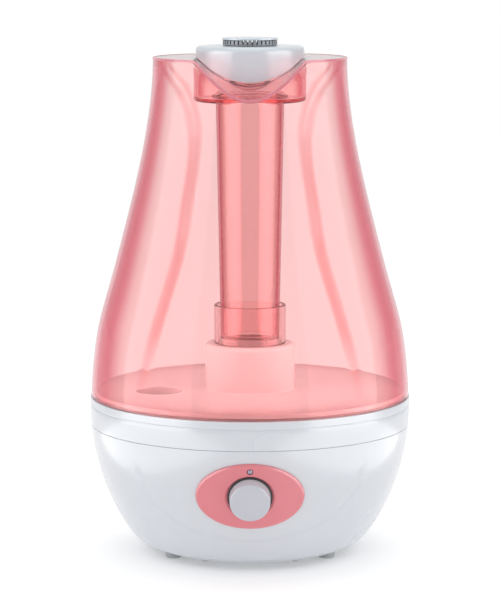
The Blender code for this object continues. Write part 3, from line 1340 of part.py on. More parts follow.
def main():
    for old in list(bpy.data.objects):
        bpy.data.objects.remove(old, do_unlink=True)
    paints = make_materials()
    upper_deck(paints["white_abs"])
    base_bowl(paints["white_abs"])
    bottom_cover(paints["white_abs"])
    case_screws(paints["screw_steel"])
    feet(paints["rubber"])
    control_panel(paints["panel_pink"])
    control_knob(paints)
    potentiometer(paints)
    indicator(paints)
    power_jack(paints)
    transducer(paints)
    fan_frame(paints)
    fan_rotor(paints["black_plastic"])
    air_duct(paints["black_plastic"])
    driver_board(paints)
    heatsink(paints)
    board_parts(paints)
    water_float(paints)
    tank_shell(paints["tank_pink"])
    tank_floor(paints["floor_pink"])
    mist_pipe(paints["pipe_pink"])
    filler_cap(paints["white_abs"])
    filler_seal(paints["silicone"])
    valve_pin(paints["rotor_grey"])
    valve_seal(paints["silicone"])
    valve_spring(paints["spring_steel"])
    nozzle_cover(paints["nozzle_white"])
    nozzle_rotor(paints)
    move_back()


main()
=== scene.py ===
"""Looks for the cool mist humidifier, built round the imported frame."""

import json
import math

import bmesh
import bpy
import numpy as np
from mathutils import Matrix, Vector


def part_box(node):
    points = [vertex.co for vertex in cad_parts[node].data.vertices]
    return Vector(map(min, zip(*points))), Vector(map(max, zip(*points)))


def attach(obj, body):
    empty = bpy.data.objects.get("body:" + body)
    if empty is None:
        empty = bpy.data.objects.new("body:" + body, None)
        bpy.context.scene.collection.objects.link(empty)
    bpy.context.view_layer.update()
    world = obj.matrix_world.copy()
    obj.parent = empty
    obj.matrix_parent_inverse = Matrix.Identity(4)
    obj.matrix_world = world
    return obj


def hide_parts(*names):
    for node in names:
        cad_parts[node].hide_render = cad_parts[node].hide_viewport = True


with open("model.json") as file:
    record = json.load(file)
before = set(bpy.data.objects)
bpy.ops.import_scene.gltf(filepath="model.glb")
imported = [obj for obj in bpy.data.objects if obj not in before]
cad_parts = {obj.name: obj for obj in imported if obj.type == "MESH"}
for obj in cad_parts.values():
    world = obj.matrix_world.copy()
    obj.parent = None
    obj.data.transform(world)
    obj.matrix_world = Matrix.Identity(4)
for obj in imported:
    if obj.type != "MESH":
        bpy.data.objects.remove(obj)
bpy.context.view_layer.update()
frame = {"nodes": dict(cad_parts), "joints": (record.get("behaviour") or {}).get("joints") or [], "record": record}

# ---------------------------------------------------------------- places from the frame
AXIS_Y = (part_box("base_bowl")[0].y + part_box("base_bowl")[1].y) / 2
AXIS = (0.0, AXIS_Y)
DECK_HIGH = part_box("upper_deck")[1]
SHELL_LOW, SHELL_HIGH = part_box("tank_shell")
BASE_RADIUS = DECK_HIGH.x
TANK_LOW = SHELL_LOW.z
TANK_TOP = SHELL_HIGH.z
SEAM = TANK_LOW - 0.0003

# ---------------------------------------------------------------- sizes, in metres
TANK_WALL = 0.0024
TOP_WALL = 0.0014  # a thicker one shows as a dark line along the rim
TANK_TOP_RADIUS = 0.0600
TANK_LOW_RADIUS = SHELL_HIGH.x
CUP_RADIUS = 0.0324  # the cup in the tank's top, which holds the lid
CUP_FLOOR = TANK_TOP - 0.0250
COVER_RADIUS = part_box("nozzle_cover")[1].x
SCOOP_HALF_WIDTH = 0.0330  # the scoops in the tank's top, at the front and at the back
SCOOP_DEPTH = 0.0145
SCOOP_FALL = 0.32
SCOOP_BLEND = 0.0011
CHIMNEY_TOP_RADIUS = 0.0212  # the tank's own tube, which hangs from the cup
CHIMNEY_LOW_RADIUS = 0.0184
CHIMNEY_WALL = 0.0014
TOWER_TOP = 0.1310
CHIMNEY_LOW = TOWER_TOP + 0.0038
FLOOR_TOP = 0.1025
FLOOR_LOW = 0.0996
BASIN_FLOOR = 0.0724
BASE_WALL = 0.0024
PARTING = 0.0808  # between the deck's skirt and the bowl
GROOVE = 0.0936
SHARP = math.radians(32)  # a cut piece keeps edges sharper than this

BULGE = 0.0012  # the side's extra fullness, most at this height
BULGE_HEIGHT = 0.1430
BULGE_REACH = 0.0220

# The raised front and back panels: the height of a point on a panel's edge, and its angle in
# degrees from straight ahead.
PETAL_STEP = 0.0010
PETAL_BAND = 0.0085
PETAL_EDGE = (
    (0.0988, 44.0),
    (0.1197, 41.2),
    (0.1512, 37.0),
    (0.1922, 32.2),
    (0.2208, 32.1),
    (0.2450, 31.2),
    (0.2613, 31.8),
    (0.2780, 36.8),
    (0.2900, 44.5),
    (0.3010, 59.0),
    (0.3090, 72.0),
)


# ---------------------------------------------------------------- node materials
class Nodes:
    """A small builder for one material's nodes."""

    def __init__(self, name):
        self.material = bpy.data.materials.new(name)
        self.material.use_nodes = True
        self.tree = self.material.node_tree
        self.shader = self.tree.nodes["Principled BSDF"]
        self.output = self.tree.nodes["Material Output"]
        self.place = self.add("ShaderNodeTexCoord").outputs["Object"]

    def add(self, kind, **settings):
        node = self.tree.nodes.new(kind)
        for key, value in settings.items():
            setattr(node, key, value)
        return node

    def link(self, source, target):
        self.tree.links.new(source, target)

    def noise(self, scale, detail=3.0, roughness=0.5, stretch=(1.0, 1.0, 1.0)):
        """Soft noise from 0 to 1 in the object's own space."""
        mapping = self.add("ShaderNodeMapping")
        mapping.inputs["Scale"].default_value = stretch
        self.link(self.place, mapping.inputs["Vector"])
        texture = self.add("ShaderNodeTexNoise")
        texture.inputs["Scale"].default_value = scale
        texture.inputs["Detail"].default_value = detail
        texture.inputs["Roughness"].default_value = roughness
        self.link(mapping.outputs["Vector"], texture.inputs["Vector"])
        return texture.outputs["Fac"]

    def ramp(self, value, low, high, start=0.3, end=0.7):
        """Colours or grey levels between low and high as value goes from start to end."""
        ramp = self.add("ShaderNodeValToRGB")
        ends = ramp.color_ramp.elements
        for element, place, colour in ((ends[0], start, low), (ends[1], end, high)):
            rgb = colour if isinstance(colour, tuple) else (colour,) * 3
            element.position = place
            element.color = (*rgb, 1.0)
        self.link(value, ramp.inputs["Fac"])
        return ramp.outputs["Color"]

    def fill(self, socket, value):
        """Links the socket to another socket, or sets it to a number or a colour."""
        if isinstance(value, bpy.types.NodeSocket):
            self.link(value, socket)
        elif isinstance(value, tuple):
            socket.default_value = (*value, 1.0)
        else:
            socket.default_value = value

    def mix(self, share, first, second, blend="MIX"):
        """The first colour, going over to the second as share goes to 1."""
        mix = self.add("ShaderNodeMix", data_type="RGBA", blend_type=blend)
        self.fill(mix.inputs["Factor"], share)
        self.fill(mix.inputs["A"], first)
        self.fill(mix.inputs["B"], second)
        return mix.outputs["Result"]

    def mask(self, name):
        """A number that the mesh holds at each of its points."""
        return self.add("ShaderNodeAttribute", attribute_name=name).outputs["Fac"]

    def surface(self, **values):
        """Sets the shader's inputs, each named with _ for a space."""
        for name, value in values.items():
            self.fill(self.shader.inputs[name.replace("_", " ")], value)

    def bump(self, height, distance, strength=1.0):
        bump = self.add("ShaderNodeBump")
        bump.inputs["Strength"].default_value = strength
        bump.inputs["Distance"].default_value = distance
        self.link(height, bump.inputs["Height"])
        self.link(bump.outputs["Normal"], self.shader.inputs["Normal"])


def moulded(name, colour, roughness, grain=0.00002, drift=0.02, scale=900.0, coat=0.0):
    """A moulded plastic: faint colour drift, uneven gloss, and a fine skin texture."""
    nodes = Nodes(name)
    darker = tuple(max(c - drift, 0.0) for c in colour)
    tone = nodes.ramp(nodes.noise(14.0, 2.0), darker, colour, 0.35, 0.65)
    gloss = nodes.ramp(nodes.noise(18.0, 2.0, 0.5), roughness * 0.95, roughness * 1.06)
    nodes.surface(Base_Color=tone, Roughness=gloss)
    nodes.bump(nodes.noise(scale, 2.0), grain)
    if coat:
        nodes.surface(Coat_Weight=coat, Coat_Roughness=0.12)
    return nodes.material


def clear_plastic(
    name,
    tint,
    depth_tint,
    density,
    edge_shade,
    roughness=0.035,
    clear=1.0,
    ior=1.45,
    band=(0.50, 0.60),
    ridge_shade=None,
    specular=0.35,
):
    """A tinted clear plastic.

    Its colour comes from the depth of plastic that the light crosses, and from painted shade:
    a darker edge colour where the wall turns away from the view, over this band of facing. A shell
    given a colour for its petals' edges also takes painted shade from its mesh's own masks: a darker
    band along the petals' edges, inner in the chimney, which is paler but keeps the painted edge shade,
    and upright, which weakens the painted edge shade on its flat top. Its colour also darkens towards
    the bottom.
    """
    nodes = Nodes(name)
    pale = tuple(min(c + 0.03, 1.0) for c in tint)
    flow = nodes.ramp(nodes.noise(9.0, 2.0, 0.5, (1.0, 1.0, 0.35)), tint, pale)
    if ridge_shade is not None:
        height = nodes.add("ShaderNodeSeparateXYZ")
        nodes.link(nodes.place, height.inputs["Vector"])
        # Darker pink towards the bottom of the tank.
        darker_low = nodes.ramp(height.outputs["Z"], (0.985, 0.925, 0.925), (1.0, 1.0, 1.0), 0.11, 0.26)
        flow = nodes.mix(1.0, flow, darker_low, "MULTIPLY")
    # Painted shade: the colour goes over to the darker edge colour as the wall turns away from the view.
    weight = nodes.add("ShaderNodeLayerWeight")
    weight.inputs["Blend"].default_value = 0.5
    share = nodes.ramp(weight.outputs["Facing"], 0.0, 1.0, *band)
    if ridge_shade is not None:
        # The painted edge shade is weaker on the shell's flat top.
        upright = nodes.add("ShaderNodeAttribute", attribute_name="upright")
        share = nodes.mix(1.0, share, upright.outputs["Color"], "MULTIPLY")
    colour = nodes.mix(share, flow, edge_shade)
    if ridge_shade is not None:
        # In the chimney a paler colour, with the same painted edge shade.
        chimney = nodes.mix(share, (0.97, 0.93, 0.925), edge_shade)
        colour = nodes.mix(nodes.mask("inner"), colour, chimney)
        # Painted shade: a darker band along the petals' edges.
        petal_edge_shaded = nodes.mix(1.0, colour, ridge_shade, "MULTIPLY")
        colour = nodes.mix(nodes.mask("ridge_shade"), colour, petal_edge_shaded)
    gloss = nodes.ramp(nodes.noise(30.0, 3.0), roughness * 0.7, roughness * 1.5)
    nodes.surface(Base_Color=colour, Roughness=gloss, Transmission_Weight=clear, IOR=ior)
    nodes.surface(Specular_IOR_Level=specular, Specular_Tint=(0.90, 0.44, 0.48))
    nodes.bump(nodes.noise(12.0, 2.0, 0.4, (1.0, 1.0, 0.3)), 0.0001, 0.2)
    absorb = nodes.add("ShaderNodeVolumeAbsorption")
    absorb.inputs["Color"].default_value = (*depth_tint, 1.0)
    absorb.inputs["Density"].default_value = density
    nodes.link(absorb.outputs["Volume"], nodes.output.inputs["Volume"])
    return nodes.material


def metal(name, colour, roughness, stretch=(1.0, 1.0, 12.0)):
    """A plain metal with fine drawn marks along one axis."""
    nodes = Nodes(name)
    darker = tuple(c * 0.82 for c in colour)
    tone = nodes.ramp(nodes.noise(120.0, 4.0, 0.6, stretch), darker, colour)
    gloss = nodes.ramp(nodes.noise(260.0, 3.0, 0.5, stretch), roughness * 0.75, roughness * 1.3)
    nodes.surface(Base_Color=tone, Roughness=gloss, Metallic=1.0)
    nodes.bump(nodes.noise(700.0, 2.0, 0.5, stretch), 0.00002)
    return nodes.material


def foam(name, colour):
    """A closed-cell foam with fine round cells."""
    nodes = Nodes(name)
    cells = nodes.add("ShaderNodeTexVoronoi")
    cells.inputs["Scale"].default_value = 1400.0
    nodes.link(nodes.place, cells.inputs["Vector"])
    darker = tuple(c * 0.8 for c in colour)
    tone = nodes.ramp(cells.outputs["Distance"], darker, colour, 0.1, 0.6)
    nodes.surface(Base_Color=tone, Roughness=0.85)
    nodes.bump(cells.outputs["Distance"], 0.0002)
    return nodes.material


def board(name):
    """A circuit board's green mask over copper tracks."""
    nodes = Nodes(name)
    tracks = nodes.add("ShaderNodeTexBrick")
    tracks.inputs["Scale"].default_value = 140.0
    tracks.inputs["Color1"].default_value = (0.02, 0.16, 0.06, 1.0)
    tracks.inputs["Color2"].default_value = (0.03, 0.20, 0.08, 1.0)
    tracks.inputs["Mortar"].default_value = (0.05, 0.27, 0.11, 1.0)
    nodes.link(nodes.place, tracks.inputs["Vector"])
    gloss = nodes.ramp(nodes.noise(90.0), 0.3, 0.5)
    nodes.surface(Base_Color=tracks.outputs["Color"], Roughness=gloss)
    nodes.bump(tracks.outputs["Fac"], 0.00004)
    return nodes.material


paint = {
    "white_abs": moulded("white_gloss", (0.64, 0.665, 0.705), 0.26, 0.0000015, 0.012, 500.0, coat=0.35),
    "nozzle_white": moulded("nozzle_white_gloss", (0.62, 0.685, 0.735), 0.22, 0.000008, 0.015, coat=0.3),
    "tank_pink": clear_plastic(
        "tank_clear_pink",
        (0.955, 0.825, 0.820),
        (0.94, 0.48, 0.50),
        70.0,
        # the darker colour of the painted shade where the wall turns away
        (0.72, 0.24, 0.30),
        ior=1.22,
        band=(0.44, 0.60),
        # the darker colour of the painted shade along the petals' edges
        ridge_shade=(0.96, 0.75, 0.75),
    ),
    "pipe_pink": clear_plastic(
        "pipe_clear_pink",
        (0.965, 0.89, 0.885),
        (0.90, 0.40, 0.42),
        40.0,
        # the darker colour of the painted shade where the pipe's wall turns away
        (0.80, 0.44, 0.48),
        0.05,
        ior=1.45,
        band=(0.60, 0.80),
        specular=0.5,
    ),
    "floor_pink": clear_plastic(
        "floor_clear_pink",
        (0.97, 0.84, 0.83),
        (0.95, 0.55, 0.55),
        40.0,
        (0.97, 0.84, 0.83),
        0.16,
        0.35,
        ior=1.30,
        band=(0.5, 0.9),
    ),
    # Opaque dark pink for the painted shade along the tank's rim.
    "rim_painted_shade": moulded("rim_painted_shade", (0.72, 0.23, 0.28), 0.18, 0.000004, 0.03),
    "panel_pink": moulded("panel_salmon", (0.74, 0.22, 0.25), 0.24, 0.000012, 0.03, coat=0.35),
    "knob_grey": moulded("knob_satin", (0.54, 0.55, 0.60), 0.38, 0.00001, 0.02),
    "rotor_grey": moulded("rotor_grey_satin", (0.30, 0.315, 0.335), 0.38, 0.00002, 0.02),
    "rubber": moulded("foot_rubber", (0.46, 0.47, 0.49), 0.62, 0.00005, 0.03, 1600.0),
    "silicone": moulded("milky_silicone", (0.72, 0.71, 0.68), 0.48, 0.00002, 0.04),
    "screw_steel": metal("zinc_steel", (0.62, 0.62, 0.63), 0.34),
    "spring_steel": metal("spring_wire", (0.66, 0.66, 0.67), 0.25),
    "aluminium": metal("plain_aluminium", (0.72, 0.73, 0.74), 0.38),
    "brass": metal("plain_brass", (0.78, 0.60, 0.30), 0.30),
    "ceramic": moulded("piezo_ceramic", (0.78, 0.74, 0.64), 0.32, 0.00003, 0.05),
    "board_green": board("solder_mask"),
    "black_plastic": moulded("black_moulding", (0.035, 0.035, 0.037), 0.42, 0.00003, 0.01, 1200.0),
    "capacitor_blue": moulded("capacitor_sleeve", (0.05, 0.08, 0.30), 0.30, 0.00001, 0.03),
    "ferrite": metal("wound_copper", (0.62, 0.30, 0.14), 0.35, (1.0, 1.0, 60.0)),
    "glass": clear_plastic(
        "clear_glass",
        (0.97, 0.98, 0.98),
        (0.9, 0.95, 0.93),
        20.0,
        # the darker colour of the painted shade where the glass turns away
        (0.9, 0.93, 0.93),
        0.01,
        ior=1.5,
        band=(0.6, 0.95),
    ),
    "led_blue": moulded("led_tint", (0.36, 0.34, 0.44), 0.12, 0.000004, 0.04, coat=0.5),
    "float_foam": foam("closed_cell_foam", (0.84, 0.81, 0.74)),
}


# ---------------------------------------------------------------- mesh making
def soften(corners, steps=5, closed=True):
    """Rounds an outline's corners: each is (radius, height, fillet)."""
    result = []
    for k, (r, z, fillet) in enumerate(corners):
        here = Vector((r, z))
        if not fillet or (not closed and k in (0, len(corners) - 1)):
            result.append((r, z))
            continue
        before = Vector(corners[k - 1][:2]) - here
        after = Vector(corners[(k + 1) % len(corners)][:2]) - here
        half = max(before.angle(after) / 2, 0.05)
        cut = min(fillet / math.tan(half), 0.48 * before.length, 0.48 * after.length)
        start = here + before.normalized() * cut
        end = here + after.normalized() * cut
        for j in range(steps + 1):
            t = j / steps
            point = start * (1 - t) ** 2 + here * 2 * t * (1 - t) + end * t * t
            result.append((point.x, point.y))
    return result


def divided(points, longest, closed=True):
    """The same outline with no straight stretch longer than this."""
    result = []
    pairs = zip(points, points[1:] + points[:1]) if closed else zip(points, points[1:])
    for (r0, z0), (r1, z1) in pairs:
        pieces = max(1, math.ceil(math.hypot(r1 - r0, z1 - z0) / longest))
        for j in range(pieces):
            result.append((r0 + (r1 - r0) * j / pieces, z0 + (z1 - z0) * j / pieces))
    if not closed:
        result.append(points[-1])
    return result


def placed(name, data):
    """A new object in the scene that holds this mesh, light or camera."""
    made = bpy.data.objects.new(name, data)
    bpy.context.scene.collection.objects.link(made)
    return made


def mesh_object(name, points, faces, slot):
    """A smooth-shaded object from points and faces, with its faces turned outwards."""
    mesh = bpy.data.meshes.new(name)
    mesh.from_pydata(points, [], faces)
    bm = bmesh.new()
    bm.from_mesh(mesh)
    bmesh.ops.remove_doubles(bm, verts=bm.verts, dist=1e-7)
    bmesh.ops.recalc_face_normals(bm, faces=bm.faces)
    bm.to_mesh(mesh)
    bm.free()
    mesh.materials.append(paint[slot])
    mesh.shade_smooth()
    return placed(name, mesh)


def sweep(name, sides, outline_at, slot, centre=AXIS, closed=True):
    """Turns an outline, which may change with the angle, round an upright axis."""
    rings = [outline_at(math.tau * k / sides) for k in range(sides)]
    count = len(rings[0])
    points = []
    for k, ring in enumerate(rings):
        turn = math.tau * k / sides
        cosine, sine = math.cos(turn), math.sin(turn)
        points += [(centre[0] + r * cosine, centre[1] + r * sine, z) for r, z in ring]
    faces = []
    for k in range(sides):
        near, far = k * count, (k + 1) % sides * count
        for j in range(count if closed else count - 1):
            after = (j + 1) % count
            faces.append((near + j, far + j, far + after, near + after))
    made = mesh_object(name, points, faces, slot)
    weigh(made)
    return made


def weigh(made):
    """Keeps flat faces flat beside their small fillets."""
    weighted = made.modifiers.new("weighted", "WEIGHTED_NORMAL")
    weighted.keep_sharp = True


def turned(name, corners, slot, sides=160, centre=AXIS, steps=5, longest=0.004, closed=True):
    """One outline of (radius, height, fillet) corners, turned round an upright axis."""
    outline = divided(soften(corners, steps, closed), longest, closed)
    return sweep(name, sides, lambda turn: outline, slot, centre, closed)


def applied(made):
    """Makes the object's modifiers part of its mesh."""
    graph = bpy.context.evaluated_depsgraph_get()
    mesh = bpy.data.meshes.new_from_object(made.evaluated_get(graph))
    made.modifiers.clear()
    made.data = mesh
    return made


def cut(made, cutters, operation="DIFFERENCE"):
    """One exact Boolean with all the cutters joined in one mesh."""
    made.modifiers.clear()
    boolean = made.modifiers.new("cut", "BOOLEAN")
    boolean.operation = operation
    boolean.solver = "EXACT"
    boolean.object = cutters
    applied(made)
    bpy.data.objects.remove(cutters, do_unlink=True)
    made.data.shade_smooth()
    made.data.set_sharp_from_angle(angle=SHARP)
    weigh(made)
    return made


def merged(pieces):
    """One mesh object that holds all these."""
    bm = bmesh.new()
    for piece in pieces:
        piece.data.transform(piece.matrix_world)
        bm.from_mesh(piece.data)
    mesh = bpy.data.meshes.new("cutters")
    bm.to_mesh(mesh)
    bm.free()
    for piece in pieces:
        bpy.data.objects.remove(piece, do_unlink=True)
    return placed("cutters", mesh)


def rod(place, low, high, radius, sides=64):
    """An upright round cutter."""
    outline = [(0.0, low), (radius, low), (radius, high), (0.0, high)]
    return sweep("rod", sides, lambda turn: outline, "white_abs", place)


def bar(matrix):
    """A box cutter: a unit cube taken through this matrix."""
    bm = bmesh.new()
    bmesh.ops.create_cube(bm, size=1.0)
    bm.transform(matrix)
    mesh = bpy.data.meshes.new("bar")
    bm.to_mesh(mesh)
    bm.free()
    return placed("bar", mesh)


def middle_of(node):
    """A CAD node's middle, seen from above."""
    low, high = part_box(node)
    return ((low.x + high.x) / 2, (low.y + high.y) / 2)


def settle(made, body, *nodes, slot=None):
    """The piece rides its body, and stands for these CAD nodes."""
    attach(made, body)
    if nodes:
        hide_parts(*nodes)
    return made


# ---------------------------------------------------------------- outlines of base and tank
def bezier(start, first, second, end, t):
    """The point at share t of a cubic Bezier curve."""
    s = 1 - t
    return tuple(
        s**3 * a + 3 * s * s * t * b + 3 * s * t * t * c + t**3 * d
        for a, b, c, d in zip(start, first, second, end)
    )


BAND_LOW = 0.0927  # the base's side is upright above this height
CURVE_LOW = (0.0683, 0.0070)  # radius and height where its curve ends


def base_point(t):
    """A point (radius, height) of the base's side, from the band down to the foot."""
    tall = BAND_LOW - CURVE_LOW[1]
    wide = BASE_RADIUS - CURVE_LOW[0]
    upper = (BASE_RADIUS, BAND_LOW - 0.495 * tall)
    lower = (CURVE_LOW[0] + 0.366 * wide, CURVE_LOW[1] + 0.085 * tall)
    return bezier((BASE_RADIUS, BAND_LOW), upper, lower, CURVE_LOW, t)


def tank_point(t):
    """A point (radius, height) of the tank's side, from its foot up to its top."""
    tall = TANK_TOP - TANK_LOW
    upper = (TANK_TOP_RADIUS, TANK_TOP - 0.329 * tall)
    lower = (TANK_LOW_RADIUS, TANK_LOW + 0.251 * tall)
    return bezier((TANK_LOW_RADIUS, TANK_LOW), lower, upper, (TANK_TOP_RADIUS, TANK_TOP), t)


SAMPLES = 600
base_table = np.array([base_point(k / SAMPLES) for k in range(SAMPLES + 1)])[::-1]
tank_table = np.array([tank_point(k / SAMPLES) for k in range(SAMPLES + 1)])
tank_table[:, 0] += BULGE * np.exp(-(((tank_table[:, 1] - BULGE_HEIGHT) / BULGE_REACH) ** 2))


def radius_at(table, z):
    """The side's radius at this height."""
    return float(np.interp(z, table[:, 1], table[:, 0]))


def slope_at(table, z):
    """How fast the side's radius grows with height."""
    step = 0.0005
    return (radius_at(table, z + step) - radius_at(table, z - step)) / (2 * step)


def scoop_depth(x, y, grow=0.0):
    """How far the tank's top is cut down here, with a rounded edge."""
    depth = SCOOP_DEPTH + grow + SCOOP_FALL * max(abs(y) - COVER_RADIUS, 0.0)
    depth *= 1 - (x / (SCOOP_HALF_WIDTH + grow)) ** 2
    return (depth + math.sqrt(depth * depth + SCOOP_BLEND**2)) / 2


def clamp(value, low=0.0, high=1.0):
    return min(max(value, low), high)


def inside_petal(x, y, z):
    """How far inside the nearest petal's edge this place on the side is, along the surface."""
    from_front = abs(math.degrees(math.atan2(x, abs(y)))) if y else 90.0
    edge = float(np.interp(z, *zip(*PETAL_EDGE)))
    return math.radians(edge - from_front) * radius_at(tank_table, z)


def petal(turn, z):
    """The raised front and back panels: how far this point of the side stands out."""
    reach = clamp(inside_petal(math.cos(turn), math.sin(turn), z) / PETAL_BAND + 0.5)
    fade = clamp((z - TANK_LOW - 0.008) / 0.020) * clamp((TANK_TOP - z) / 0.006)
    return PETAL_STEP * fade * reach * reach * (3 - 2 * reach)


def ridge_at(point):
    """How much this point lies in the soft step along a petal's edge."""
    x, y, z = point.x, point.y - AXIS_Y, point.z
    if math.hypot(x, y) < radius_at(tank_table, min(z, TANK_TOP)) - 0.008:
        return 0.0
    off = inside_petal(x, y, z) / (PETAL_BAND * 0.5)
    fade = clamp((z - TANK_LOW - 0.006) / 0.020)
    return fade * max(0.0, 1.0 - off**4)


# ---------------------------------------------------------------- tank
def spread(start, end, count):
    """Evenly spaced values, with both ends."""
    return [start + (end - start) * k / (count - 1) for k in range(count)]


def rim_height(turn):
    """Where the tank's side meets its scooped top at this angle."""
    low, high = TANK_LOW, TANK_TOP
    for _ in range(30):
        middle = (low + high) / 2
        r = radius_at(tank_table, middle)
        if middle < TANK_TOP - scoop_depth(r * math.cos(turn), r * math.sin(turn)):
            low = middle
        else:
            high = middle
    return low


def rim_shade_outline(turn):
    """An opaque dark pink band over the edge of side and top: painted shade along the rim of the clear tank."""
    rim = rim_height(turn)
    foot = rim - 0.0013
    r = radius_at(tank_table, rim)
    back = r - 0.0011
    top = TANK_TOP - scoop_depth(back * math.cos(turn), back * math.sin(turn))
    below = radius_at(tank_table, foot) + petal(turn, foot)
    proud, sunk = 0.00015, 0.0003
    corners = [
        (below + proud, foot, 0.0),
        (r + proud, rim + 0.0001, 0.0003),
        (back, top + 0.00012, 0.0),
        (back, top - 0.0004, 0.0),
        (below - sunk, foot, 0.0),
    ]
    return soften(corners, 4)


def shell_outline(turn):
    """The tank's section at this angle, from the outer foot up, over the top and back inside."""
    cosine, sine = math.cos(turn), math.sin(turn)

    def top_at(r, grow=0.0):
        return TANK_TOP - scoop_depth(r * cosine, r * sine, grow)

    rim = rim_height(turn)
    rim_radius = radius_at(tank_table, rim)

    def outer(z):
        return radius_at(tank_table, z) + petal(turn, z)

    def inner(z):
        lean = slope_at(tank_table, z)
        return outer(z) - TANK_WALL * math.sqrt(1 + lean * lean)

    corners = [(inner(TANK_LOW), TANK_LOW, 0.0004), (outer(TANK_LOW), TANK_LOW, 0.0006)]
    corners += [(outer(z), z, 0.0) for z in spread(TANK_LOW + 0.002, rim - 0.004, 84)]
    corners.append((rim_radius, rim, 0.00015))
    corners += [(r, top_at(r), 0.0) for r in spread(rim_radius - 0.004, CUP_RADIUS + 0.0022, 24)]
    corners.append((CUP_RADIUS, top_at(CUP_RADIUS), 0.0002))
    corners.append((CUP_RADIUS, CUP_FLOOR, 0.0016))
    corners.append((CHIMNEY_TOP_RADIUS - CHIMNEY_WALL, CUP_FLOOR, 0.0005))
    corners.append((CHIMNEY_TOP_RADIUS - CHIMNEY_WALL, CUP_FLOOR - TANK_WALL, 0.0))
    corners.append((CHIMNEY_LOW_RADIUS - CHIMNEY_WALL, CHIMNEY_LOW, 0.0003))
    corners.append((CHIMNEY_LOW_RADIUS, CHIMNEY_LOW, 0.0003))
    corners.append((CHIMNEY_TOP_RADIUS, CUP_FLOOR - TANK_WALL, 0.0015))
    cup_outside = CUP_RADIUS + TANK_WALL
    corners.append((cup_outside, CUP_FLOOR - TANK_WALL, 0.0025))
    corners.append((cup_outside, top_at(cup_outside, TOP_WALL) - TOP_WALL, 0.0003))
    ceiling = rim - TOP_WALL * 1.3
    for r in spread(cup_outside + 0.003, inner(ceiling) - 0.004, 18):
        corners.append((r, top_at(r, TOP_WALL * 0.5) - TOP_WALL, 0.0))
    corner_z = top_at(inner(ceiling), TOP_WALL * 0.5) - TOP_WALL
    corners.append((inner(corner_z), corner_z, 0.0003))
    corners += [(inner(z), z, 0.0) for z in spread(corner_z - 0.005, TANK_LOW + 0.002, 84)]
    return soften(corners, 4)


def add_mask(made, name, value_at):
    """Stores a number at each point of the mesh, for its material to read."""
    mask = made.data.attributes.new(name, "FLOAT", "POINT")
    mask.data.foreach_set("value", [value_at(v) for v in made.data.vertices])


TANK_SIDES = 288
shell = sweep("tank_clear_shell", TANK_SIDES, shell_outline, "tank_pink")
shell.modifiers.clear()  # its fine even rings shade better unweighted
shell.data.set_sharp_from_angle(angle=math.radians(35))
# Where the painted shade along the petals' edges falls.
add_mask(shell, "ridge_shade", lambda v: ridge_at(v.co))
add_mask(shell, "inner", lambda v: float(math.hypot(v.co.x, v.co.y - AXIS_Y) < CUP_RADIUS - 0.004))
# Where the painted edge shade is weaker: the shell's flat top.
add_mask(shell, "upright", lambda v: clamp(2.0 - 3.0 * abs(v.normal.z), 0.45))
settle(shell, "tank", "tank_shell", slot="tank_pink")
# An opaque pink band over the tank's rim: painted shade.
settle(sweep("tank_rim_painted_shade", TANK_SIDES, rim_shade_outline, "rim_painted_shade"), "tank", slot="tank_pink")

pipe_low, pipe_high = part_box("mist_pipe")
PIPE_TOP_RADIUS = CHIMNEY_TOP_RADIUS - CHIMNEY_WALL - 0.0003
PIPE_LOW_RADIUS = CHIMNEY_LOW_RADIUS - CHIMNEY_WALL - 0.0004
PIPE_WALL = 0.0018
SHOULDER = CUP_FLOOR - TANK_WALL  # where the pipe's taper starts
pipe = turned(
    "mist_pipe_tube",
    [
        (PIPE_LOW_RADIUS, pipe_low.z, 0.0004),
        (PIPE_TOP_RADIUS, SHOULDER, 0.0),
        (PIPE_TOP_RADIUS, CUP_FLOOR + 0.0003, 0.0003),
        (pipe_high.x, CUP_FLOOR + 0.0003, 0.0003),
        (pipe_high.x, pipe_high.z, 0.0006),
        (PIPE_TOP_RADIUS - PIPE_WALL, pipe_high.z, 0.0006),
        (PIPE_TOP_RADIUS - PIPE_WALL, SHOULDER, 0.0),
        (PIPE_LOW_RADIUS - PIPE_WALL, pipe_low.z, 0.0004),
    ],
    "pipe_pink",
    128,
    longest=0.02,
)
settle(pipe, "tank", "mist_pipe", slot="pipe_pink")

